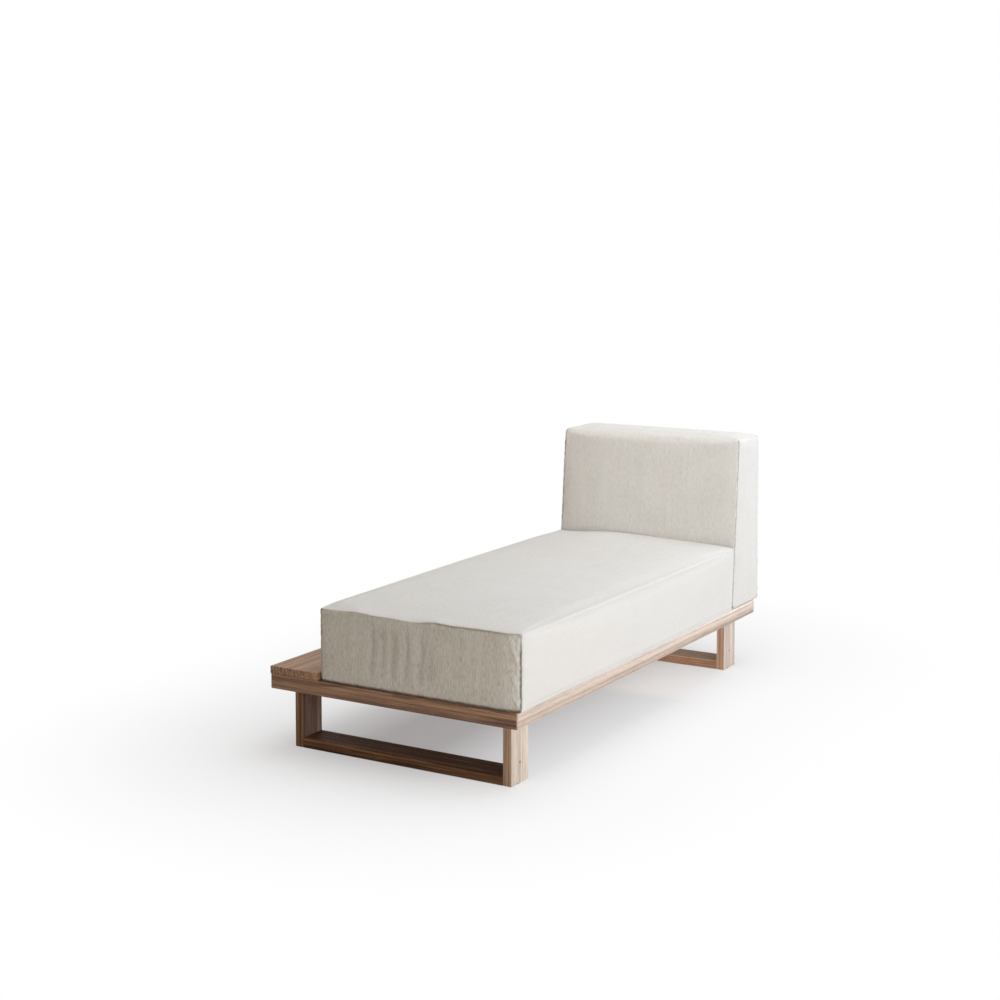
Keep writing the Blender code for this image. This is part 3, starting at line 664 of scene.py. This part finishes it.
plywood = birch_plywood()
zinc = speckled("zinc_plate", (0.50, 0.50, 0.48), (0.74, 0.74, 0.72), 900.0, 1.0, 0.35)
nylon = speckled("black_nylon", (0.012, 0.012, 0.012), (0.03, 0.03, 0.03), 1500.0, 0.0, 0.5)
HIDDEN_FINISHES = (
    (wood_across, "hardwood", ("slat", "cross", "corner", "loose")),
    (nylon, "nylon", ("glide",)),
    (zinc, "steel", ("leg_screw", "shelf_screw", "back_bolt")),
    (plywood, "plywood", ("back_base", "back_front", "back_top", "back_rib")),
)
dressed = 0
for node_name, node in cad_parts.items():
    for finish, slot, starts in HIDDEN_FINISHES:
        if node_name.startswith(starts):
            node.data.materials.clear()
            node.data.materials.append(finish)
            dressed += 1
print(dressed, "hidden pieces finished")

# %% [markdown]
# ## The linen
#
# Both covers are undyed linen canvas. Close up it is a plain weave with thick and thin places in the yarn;
# from a few metres the thick places run together into pale and dark flecks and faint upright streaks.
# The cloth's own coordinates, in metres along its threads, come from a UV map, so the weave turns
# the corner with the cloth. A seam attribute paints shade into the crease where two panels are sewn
# together, and into the folds of the front panel.

# %% Linen finish
THREAD = 0.0017
LINEN_STOPS = [
    (0.0, (0.56, 0.53, 0.475)),
    (0.5, (0.745, 0.725, 0.690)),
    (1.0, (0.85, 0.835, 0.81)),
]
# Colour of the painted shade in seams and folds, and of the dark thread ends.
PAINTED_SHADE_AND_THREAD_ENDS = (0.075, 0.060, 0.045)


def slubbed_linen():
    """Plain weave: ridges along u and v, swapped in a chequer; slubs are noise drawn out along each."""
    material, start = start_finish("natural_linen")
    u, v, _ = split(start.node("ShaderNodeUVMap", {"uv_map": "threads"}))
    warp, weft = u / THREAD, v / THREAD
    chequer = ((warp.math("FLOOR") + weft.math("FLOOR")) * 0.5).math("FRACT") * 2.0
    warp_ridge = warp.math("FRACT").math("PINGPONG", 0.5) * 2.0
    weft_ridge = weft.math("FRACT").math("PINGPONG", 0.5) * 2.0
    weave = warp_ridge * chequer + weft_ridge * (1 - chequer)
    upright_slubs = noise(join(u * 420.0, v * 24.0, 0.0), 2.0, 0.6)
    level_slubs = noise(join(u * 24.0, v * 420.0, 3.0), 2.0, 0.6)
    flecks = noise(join(u * 270.0, v * 60.0, 7.0), 3.0, 0.65)
    streaks = noise(join(u * 60.0, v * 4.0, 11.0), 2.0)
    clouds = noise(join(u * 9.0, v * 9.0, 17.0), 2.0)
    unevenness = start.node("ShaderNodeAttribute", {"attribute_name": "unevenness"}, outlet="Fac")
    change = (flecks - 0.5) * 1.3 + (upright_slubs - 0.5) * 0.6 + (level_slubs - 0.5) * 0.2
    change = change + (streaks - 0.5) * 0.35 + (clouds - 0.5) * 0.30 + (weave - 0.5) * 0.15
    tone = 0.5 + change * unevenness
    colour = tone.node("ShaderNodeValToRGB", {"stops": LINEN_STOPS}, {0: tone})
    # The seam attribute is painted shade in seam grooves, in the front panel's folds and along the seat's
    # top right edge, with dark thread ends at a few spots.
    seam = start.node("ShaderNodeAttribute", {"attribute_name": "seam"}, outlet="Fac")
    colour = blend_colour(seam, colour, PAINTED_SHADE_AND_THREAD_ENDS)
    height = weave * 0.5 + upright_slubs * 0.5 + level_slubs * 0.4 + flecks * 0.8
    bump = height.node("ShaderNodeBump", None, {"Strength": 0.35, "Distance": 0.0012, "Height": height})
    inlets = {
        "Base Color": colour,
        "Roughness": 0.86 + (flecks - 0.5) * 0.2,
        "Normal": bump,
        "Specular IOR Level": 0.2,
        "Sheen Weight": 0.12,
        "Sheen Roughness": 0.5,
    }
    end_finish(start, inlets)
    return material


linen = slubbed_linen()
print("linen with", round(1000 * THREAD, 1), "mm threads")

# %% [markdown]
# ## The upholstered blocks
#
# Each block is firm foam in a sewn cover: a sleeve of cloth runs round it and two end panels close it. On
# the seat the sleeve is top, sides and bottom, and the ends are the front and rear; on the backrest the
# sleeve is front, top and rear, and the ends are its two sides. So both are the same box skin, with fine
# cuts near the seams, rounded, and then bent to the block's own form by a formula for the whole volume.
# A sewn edge stays tight and a folded one is soft, so each point brings its own three edge radii.

# %% Curves for the cushions


def near_edges(low, high, fine, coarse, zone):
    """Cuts from low to high: fine steps in a zone at each end, growing to coarse ones in the middle."""
    place = np.linspace(low, high, 4001)
    edge = np.minimum(place - low, high - place)
    step = fine + (coarse - fine) * np.clip((edge - zone) / (3 * zone), 0, 1)
    count = np.concatenate([[0], np.cumsum(np.diff(place) / step[1:])])
    return np.interp(np.linspace(0, count[-1], round(count[-1]) + 1), count, place)


def smooth_step(value, low, high):
    """0 below low, 1 above high, and a smooth step between them."""
    share = np.clip((value - low) / (high - low), 0, 1)
    return share * share * (3 - 2 * share)


def swell(t):
    """1 in the middle of a panel and 0 at its edges, where t is -1 or 1."""
    return 1 - t**4


def bow(w):
    """1 half way up a panel and 0 at its foot and top, where w is 0 and 1."""
    return 4 * w * (1 - w)


print("curves ready")

# %% Cushion skins
FINE_CUT, SEAM_ZONE = 0.0025, 0.010


def thread_map(home, quads, sides, sleeve_axis, low, high):
    """Cloth coordinates in metres at the corners of quads: a panel lies flat, the sleeve is unrolled."""
    x, y, z = np.moveaxis(home[quads], -1, 0)
    side = sides[:, None]
    if sleeve_axis == 1:
        drop = high[2] - z
        unrolled = np.where(side == 0, low[0] - drop, np.where(side == 1, high[0] + drop, x))
        u = np.where(side // 2 == 1, x, unrolled)
        v = np.where(side // 2 == 1, z, y)
    else:
        over_top = high[2] + y - low[1]
        down_rear = 2 * high[2] + high[1] - low[1] - z
        unrolled = np.where(side == 2, z, np.where(side == 3, down_rear, over_top))
        u = np.where(side // 2 == 0, y, x)
        v = np.where(side // 2 == 0, z, unrolled)
    return np.stack([u, v], -1)


def read_points(mesh, attribute=None):
    """All the points of a mesh, or one of its vector attributes, as an array."""
    flat = np.empty(3 * len(mesh.vertices), np.float32)
    if attribute:
        mesh.attributes[attribute].data.foreach_get("vector", flat)
    else:
        mesh.vertices.foreach_get("co", flat)
    return flat.reshape(-1, 3).astype(float)


def write_points(mesh, points):
    """Moves all the points of a mesh."""
    mesh.vertices.foreach_set("co", points.astype(np.float32).ravel())
    mesh.update()


def give(mesh, name, kind, domain, values):
    """Adds an attribute with one value, or one vector, for each point or face."""
    kept = mesh.attributes.new(name, kind, domain)
    field = "vector" if kind == "FLOAT_VECTOR" else "value"
    kept.data.foreach_set(field, values.astype(np.float32).ravel())


def sewn_block(name, low, high, steps, radii, sleeve_axis, form, unevenness, body, nodes):
    """Box skin, rounded and bent by form, which remembers its flat place and each panel's unevenness."""
    cuts = [near_edges(low[k], high[k], FINE_CUT, steps[k], SEAM_ZONE) for k in range(3)]
    home, quads, sides = box_skin(cuts)
    points = form(round_edges(home, low, high, radii(home)))
    made = dress(name, points, quads.tolist(), linen, body, "linen", *nodes)
    give(made.data, "home", "FLOAT_VECTOR", "POINT", home)
    give(made.data, "unevenness", "FLOAT", "FACE", np.array(unevenness)[sides])
    threads = made.data.uv_layers.new(name="threads")
    mapped = thread_map(home, quads, sides, sleeve_axis, low, high)
    threads.uv.foreach_set("vector", mapped.astype(np.float32).ravel())
    print(name, "skin:", len(quads), "quads")
    return made


print("cushion skins ready")

# %% [markdown]
# ### The seat cushion
#
# Its foot stands just inside the rim and the shelf. Above the shelf the left side swells over the plank,
# and the crown of the top carries on right up to the backrest. The list of six numbers says how uneven
# the yarn shows on each panel: strongest on the front, which sees no direct light.

# %% Seat cushion
deck_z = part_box("slat_1")[1].z
SHELF_GAP, FRONT_GAP, BACK_GAP, DECK_GAP = 0.005, 0.009, 0.002, 0.0004
SEAT_HEIGHT, BACK_HEIGHT = 0.216, 0.593
BACK_FOOT_Y, BACK_LEAN = 0.615, 0.051 / BACK_HEIGHT
seat_low = np.array([shelf_high.x + SHELF_GAP, front_y + FRONT_GAP, deck_z + DECK_GAP])
seat_high = np.array([right_x, BACK_FOOT_Y - BACK_GAP, deck_z + SEAT_HEIGHT])
CROWN, LEFT_FLARE, RIGHT_BULGE, FRONT_BULGE, FRONT_LIFT = 0.009, 0.013, 0.0035, 0.002, 0.004


def seat_radii(home):
    """Edge radii along x, y and z: tight at seams, growing where cloth folds, round at the lower left."""
    x, y, z = home.T
    from_left = x - seat_low[0]
    fold = 0.004 + 0.003 * smooth_step(np.minimum(y - seat_low[1], seat_high[1] - y), 0.0, 0.08)
    lower = 0.0025 + 0.012 * (1 - smooth_step(from_left, 0.0, 0.05))
    across = np.where(from_left < 0.3, 0.008, fold)
    along = 0.003 + 0.004 * (1 - smooth_step(from_left, 0.0, 0.15))
    return np.stack([across, along, np.where(z < deck_z + 0.1, lower, fold)], -1)


def seat_form(points):
    """Adds the crown, the flare over the shelf, the bulge of front and right, and the lean of the rear.

    The crown is an arch across the seat, higher on the left half towards the backrest. At the left edge
    a puffed border takes over from it, nearly as high, which falls off at the front and rear seams.
    """
    share = (points - seat_low) / (seat_high - seat_low)
    u, v, _ = (2 * share - 1).T
    w = share[:, 2]
    behind_front = 1 - ((1 - v) / 2) ** 8
    half_width = (seat_high[0] - seat_low[0]) / 2
    flare = LEFT_FLARE * smooth_step(w, 0.1, 0.6) * (0.1 + 0.9 * smooth_step(v, -1.0, 0.2))
    half_width = half_width + np.where(u < 0, flare, RIGHT_BULGE)
    on_left = smooth_step(-u, 0.3, 1.0)
    puffed = 0.9 * smooth_step(points[:, 1] - seat_low[1], 0.0, 0.06)
    puffed = puffed * (1 - 0.65 * smooth_step(v, 0.75, 1.0))
    at_rear = smooth_step(v, 0.3, 1.0) * (1 - smooth_step(u, -0.5, 0.65))
    arched = swell(u) * behind_front * (1 + 0.8 * at_rear)
    crown = CROWN * (arched * (1 - on_left) + puffed * on_left)
    z = points[:, 2] + w * (crown + FRONT_LIFT * smooth_step(u, 0.0, 0.6) * (1 - behind_front))
    front = seat_low[1] - FRONT_BULGE * swell(u) * bow(w)
    rear = seat_high[1] + BACK_LEAN * (z - deck_z)
    x = (seat_low[0] + seat_high[0]) / 2 + u * half_width
    return np.stack([x, front + share[:, 1] * (rear - front), z], -1)


seat = sewn_block(
    "seat_cushion",
    seat_low,
    seat_high,
    (0.012, 0.026, 0.011),
    seat_radii,
    1,
    seat_form,
    (0.5, 0.3, 1.6, 1.0, 0.6, 0.5),
    "seat",
    ["seat_cover", "seat_foam", "seat_bottom_panel"],
)

# %% [markdown]
# ### The backrest
#
# The backrest leans, tapers towards its top and reaches a little further left than the seat's foot, over
# the shelf. Its top edges are soft rolls in the middle and run out to tight corners at the side panels.

# %% Backrest
back_low = np.array([shelf_high.x + SHELF_GAP, 0.0, deck_z + DECK_GAP])
BACK_DEPTH = 0.200
back_high = np.array([right_x, BACK_DEPTH, deck_z + BACK_HEIGHT])
BACK_REAR_FOOT, BACK_REAR_TOP = 0.862, 0.854
BACK_FLARE, TOP_DROOP, SINK = 0.015, 0.005, 0.004


def back_radii(home):
    """Edge radii along x, y and z: tight at side seams, wide rolls between them, rounder at the top."""
    x, _, z = home.T
    fold = 0.014 + 0.008 * smooth_step(np.minimum(x - back_low[0], back_high[0] - x), 0.0, 0.10)
    side = 0.004 + 0.014 * smooth_step(z, back_high[2] - 0.06, back_high[2])
    return np.stack([side, fold, np.where(z < deck_z + 0.2, 0.005, fold)], -1)


def back_form(points):
    """Leans from its foot to its top, tapers, flares to the left and swells a little on every face."""
    share = (points - back_low) / (back_high - back_low)
    u, v, _ = (2 * share - 1).T
    w = share[:, 2]
    half_width = (back_high[0] - back_low[0]) / 2 - 0.0015 * (1 - swell(v) * bow(w))
    half_width = half_width + np.where(u < 0, BACK_FLARE * smooth_step(w, 0.04, 0.35), 0.001)
    z = points[:, 2] - w * TOP_DROOP * (1 - swell(u))
    sunk = SINK * (1 - swell(u) * swell(2 * w - 1))
    front = BACK_FOOT_Y + BACK_LEAN * (z - deck_z) + sunk
    rear = BACK_REAR_FOOT + (BACK_REAR_TOP - BACK_REAR_FOOT) * w - sunk
    x = (back_low[0] + back_high[0]) / 2 + u * half_width
    return np.stack([x, front + share[:, 1] * (rear - front), z], -1)


back = sewn_block(
    "backrest_cushion",
    back_low,
    back_high,
    (0.014, 0.012, 0.014),
    back_radii,
    0,
    back_form,
    (0.5, 0.5, 0.8, 0.8, 0.6, 0.6),
    "frame",
    ["back_cover", "back_foam"],
)

# %% [markdown]
# ### Letting the covers swell
#
# Blender's Cloth, with pressure inside and gravity off, blows a cover up between the points that are held:
# the seams, the foot, and the faces where seat and backrest press on each other. Twenty frames are enough,
# and no point may go further than a small cap, because firm foam hardly gives. The result is then written
# into the mesh and the modifier taken away.

# %% Cloth under pressure
HOLD_NEAR_SEAM = 0.006
SWELL_FRAMES, PRESSURE = 20, 4.0
SEAT_CAP, BACK_CAP = 0.002, 0.003


def seam_place(home, axis, low, high):
    """Distance on the cloth from the nearer end seam, negative on its panel, and the place along it."""
    to_end = np.minimum(home[:, axis] - low[axis], high[axis] - home[:, axis])
    others = [k for k in range(3) if k != axis]
    to_border = np.min([np.minimum(home[:, k] - low[k], high[k] - home[:, k]) for k in others], axis=0)
    return to_end - to_border, home[:, others[0]] + home[:, others[1]]


def inflate(made, held, cap):
    """Cloth under pressure: points swell outwards between the held ones, by no more than the cap."""
    rest = read_points(made.data)
    group = made.vertex_groups.new(name="held")
    group.add(np.flatnonzero(held).tolist(), 1.0, "REPLACE")
    swelling = made.modifiers.new("swelling", "CLOTH").settings
    swelling.quality = 5
    swelling.vertex_group_mass = "held"
    swelling.use_pressure = True
    swelling.uniform_pressure_force = PRESSURE
    swelling.effector_weights.gravity = 0.0
    for moment in range(1, SWELL_FRAMES + 1):
        bpy.context.scene.frame_set(moment)
    swollen = bpy.data.meshes.new_from_object(made.evaluated_get(bpy.context.evaluated_depsgraph_get()))
    move = read_points(swollen) - rest
    length = np.linalg.norm(move, axis=1, keepdims=True)
    bpy.data.meshes.remove(swollen)
    made.modifiers.clear()
    made.vertex_groups.clear()
    bpy.context.scene.frame_set(1)
    write_points(made.data, rest + move * cap / np.maximum(length, cap))
    print(made.name, "swelled by up to", round(1000 * min(length.max(), cap), 1), "mm")


seat_home = read_points(seat.data, "home")
to_seam, _ = seam_place(seat_home, 1, seat_low, seat_high)
pressed = (seat_home[:, 2] < seat_low[2] + 0.012) | (seat_home[:, 1] > seat_high[1] - 0.012)
inflate(seat, pressed | (np.abs(to_seam) < HOLD_NEAR_SEAM), SEAT_CAP)
back_home = read_points(back.data, "home")
to_seam, _ = seam_place(back_home, 0, back_low, back_high)
pressed = (back_home[:, 1] < 0.001) & (back_home[:, 2] < seat_high[2] + 0.02)
pressed = pressed | (back_home[:, 2] < back_low[2] + 0.03)
inflate(back, pressed | (np.abs(to_seam) < HOLD_NEAR_SEAM), BACK_CAP)

# %% [markdown]
# ### Seams
#
# A seam pulls the cloth in: a narrow groove, with painted shade in it that is darker where the groove is
# deep, and small puckers beside it. It never runs quite straight. The photograph shows it black down the
# seat's right front edge and along part of the top, brown down the backrest's front edge, and hardly at
# all elsewhere: each seam has its own strength.

# %% Sewing
SEAM_WANDER, PUCKER_REACH, KNOT_RADIUS = 0.0022, 0.018, 0.007


def uneven(place, *waves):
    """A sum of sines with given lengths, none a multiple of another, so that it doesn't seem to repeat."""
    return sum(np.sin(2 * np.pi * place / length + 1.7 * k) for k, length in enumerate(waves)) / len(waves)


def bell(distance, width):
    """1 at no distance and nearly 0 at two widths: e to the power of minus the square of their ratio."""
    return np.exp(-((distance / width) ** 2))


def refine(made):
    """One round of subdivision, applied, so that seams and folds have points to move."""
    smooth = made.modifiers.new("refine", "SUBSURF")
    smooth.levels = smooth.render_levels = 1
    finer = bpy.data.meshes.new_from_object(made.evaluated_get(bpy.context.evaluated_depsgraph_get()))
    made.modifiers.clear()
    made.data = finer
    finer.polygons.foreach_set("use_smooth", np.ones(len(finer.polygons), bool))
    return finer


def outward(mesh):
    """The smooth normal at each point."""
    flat = np.empty(3 * len(mesh.vertices), np.float32)
    mesh.vertex_normals.foreach_get("vector", flat)
    return flat.reshape(-1, 3).astype(float)


def spot(home, centre, radius):
    """1 at a point, fading away over the radius."""
    return bell(np.linalg.norm(home - np.array(centre), axis=1), radius)


def sew(made, axis, low, high, strength, width, knots, set_back):
    """Draws a cover in along its end seams and keeps the painted shade of the crease; knots are dark
    thread ends.

    A seam lies set back on its end panel by a few millimetres, or on the sleeve where that is negative.
    Each point moves along its normal: to and fro by the puckers, out by the welts beside the seam and in
    by its groove.
    """
    mesh = refine(made)
    home = read_points(mesh, "home")
    to_seam, along = seam_place(home, axis, low, high)
    loose = smooth_step(home[:, 2], low[2] + 0.005, low[2] + 0.020)
    wander = to_seam + set_back(home) + SEAM_WANDER * loose * uneven(along, 0.023, 0.047, 0.083)
    power, depth = strength(home)
    groove = bell(wander, 1.3 * width)
    pucker = uneven(along, 0.013, 0.021, 0.034) * np.exp(-np.abs(to_seam) / PUCKER_REACH)
    pucker = pucker * (1 - groove) * loose
    welt = bell(np.abs(wander) - 2.6 * width, 1.2 * width)
    move = (0.0006 + 0.0010 * power) * pucker + 0.0006 * power * welt - depth * groove
    write_points(mesh, read_points(mesh) + move[:, None] * outward(mesh))
    ragged = 0.85 + 0.25 * uneven(along, 0.019, 0.043, 0.071)
    # Painted shade in the groove, uneven along the seam.
    dark = power * bell(wander, width) * ragged
    for knot in knots:
        dark = np.maximum(dark, 0.8 * spot(home, knot, KNOT_RADIUS))
    give(mesh, "seam", "FLOAT", "POINT", np.clip(dark, 0, 1))
    print(made.name, len(mesh.polygons), "quads after sewing")
    return mesh, home


print("sewing helpers ready")

# %% Seams of the seat and the backrest
SEAT_SEAM, BACK_SEAM, SET_BACK = 0.0038, 0.0030, 0.0025


def groove_depth(dark):
    """A seam is deeper where its painted shade is darker."""
    return 0.0015 + 0.0025 * dark


def seat_seam_strength(home):
    """How much painted shade and how deep: strong down the right front edge and fair along part of the top
    one.

    It fades at the corner between them, and the rear seam is faint all round.
    """
    x, y, z = home.T
    at_corner = smooth_step(z, seat_high[2] - 0.050, seat_high[2] - 0.025)
    down_right = smooth_step(x, seat_high[0] - 0.02, seat_high[0] - 0.008) * (1 - 0.75 * at_corner)
    on_top = smooth_step(z, seat_high[2] - 0.02, seat_high[2] - 0.008)
    on_top = on_top * smooth_step(x, 0.08, 0.16) * (1 - 0.4 * smooth_step(x, 0.34, 0.38))
    at_left = 1 - smooth_step(x, seat_low[0] + 0.008, seat_low[0] + 0.02)
    # Painted shade also along the left edge and at the foot, where the cushion sits on the rail; at the
    # foot it has no groove.
    at_foot = 1 - smooth_step(z, seat_low[2] + 0.006, seat_low[2] + 0.012)
    strongest = np.max([down_right, 0.48 * on_top, 0.45 * at_left, 0.8 * at_foot], axis=0)
    dark = 0.06 + 0.94 * strongest * (y < 0)
    return dark, groove_depth(dark) * (1 - at_foot)


def back_seam_strength(home):
    """How much painted shade and how deep: strong down the side panels' front edges, faint over the top
    and rear.
    """
    front_edge = 1 - smooth_step(home[:, 1], 0.010, 0.025)
    rear_edge = smooth_step(home[:, 1], back_high[1] - 0.025, back_high[1] - 0.010)
    dark = 0.15 + 0.6 * front_edge + 0.3 * rear_edge
    return dark, groove_depth(dark)


seat_knots = [(seat_low[0], seat_low[1], seat_high[2])]
back_knots = [
    (back_high[0], back_low[1] + 0.006, back_low[2] + 0.006),
    (back_high[0], back_high[1] - 0.006, back_low[2] + 0.014),
]
seat_mesh, seat_home = sew(
    seat,
    1,
    seat_low,
    seat_high,
    seat_seam_strength,
    SEAT_SEAM,
    seat_knots,
    lambda home: SET_BACK,
)
sew(
    back,
    0,
    back_low,
    back_high,
    back_seam_strength,
    BACK_SEAM,
    back_knots,
    lambda home: SET_BACK * np.sign(home[:, 0]),
)

# %% [markdown]
# ### The front panel
#
# The seat's front panel hangs in a few soft upright folds, each a valley with the section of a bell that
# leans and wavers on its way down. Shade is painted into the folds, and along the fold between the seat's
# top and its right side, where it dims the highlight. The panel's right end rolls back to its seam, with
# slanting puckers: bells that are long one way and narrow the other. Wide bells lift the top edge or let
# it sag.

# %% Folds
FOLDS = (
    (-0.060, 0.0020),
    (-0.023, 0.0014),
    (0.014, 0.0022),
    (0.058, 0.0020),
    (0.108, 0.0018),
    (0.139, 0.0012),
)
FOLD_WIDTH, FOLD_PAINTED_SHADE = 0.009, 85
EDGE_PAINTED_SHADE, EDGE_PAINTED_SHADE_WIDTH = 0.09, 0.014
x, y, z = seat_home.T
height = z - (seat_low[2] + seat_high[2]) / 2
on_panel = y < seat_low[1] + ON_FACE
on_front = on_panel * smooth_step(0.09 - np.abs(height), 0.0, 0.04)
bent_x = x - 0.05 * height - 0.004 * uneven(height, 0.11, 0.17)
fold = on_front * sum(depth * bell(bent_x - place, FOLD_WIDTH) for place, depth in FOLDS)
folded = read_points(seat_mesh)
folded[:, 1] += fold
# Painted shade along the fold between the seat's top and its right side, which dims the highlight there.
edge_painted_shade = EDGE_PAINTED_SHADE * bell(np.hypot(x - seat_high[0], z - seat_high[2]), EDGE_PAINTED_SHADE_WIDTH)
shade = np.empty(len(seat_home), np.float32)
seat_mesh.attributes["seam"].data.foreach_get("value", shade)
# Painted shade in the fold valleys and along that edge joins the seams' painted shade.
shade = np.max([shade, fold * FOLD_PAINTED_SHADE, edge_painted_shade], axis=0)
seat_mesh.attributes["seam"].data.foreach_set("value", shade.astype(np.float32))
print(len(FOLDS), "folds in the front panel")

# %% Rolled end, puckers and top edge
ROLL_BACK, PUCKER_HEIGHT, PUCKER_LENGTH, PUCKER_WIDTH = 0.010, 0.0028, 0.018, 0.005
PUCKERS = ((0.030, 0.195), (0.022, 0.166), (0.012, 0.140), (0.020, 0.085), (0.014, 0.024))
EDGE_LIFTS, LIFT_WIDTH = ((-0.12, 0.004), (0.065, -0.003), (0.15, 0.004)), 0.04
near_front = 1 - smooth_step(y - seat_low[1], 0.0, 0.06)
folded[:, 1] += ROLL_BACK * near_front * smooth_step(x, seat_high[0] - 0.055, seat_high[0] + 0.005)
for inward, up in PUCKERS:
    right, over = x - seat_high[0] + inward, z - seat_low[2] - up
    along, across = 0.5 * right - 0.87 * over, 0.87 * right + 0.5 * over
    ridge = bell(along, PUCKER_LENGTH) * bell(across, PUCKER_WIDTH)
    folded[:, 1] -= PUCKER_HEIGHT * ridge * on_panel
on_edge = near_front * smooth_step(z, seat_high[2] - 0.05, seat_high[2])
folded[:, 2] += on_edge * sum(lift * bell(x - place, LIFT_WIDTH) for place, lift in EDGE_LIFTS)
write_points(seat_mesh, folded)
print(len(PUCKERS), "puckers by the right seam")
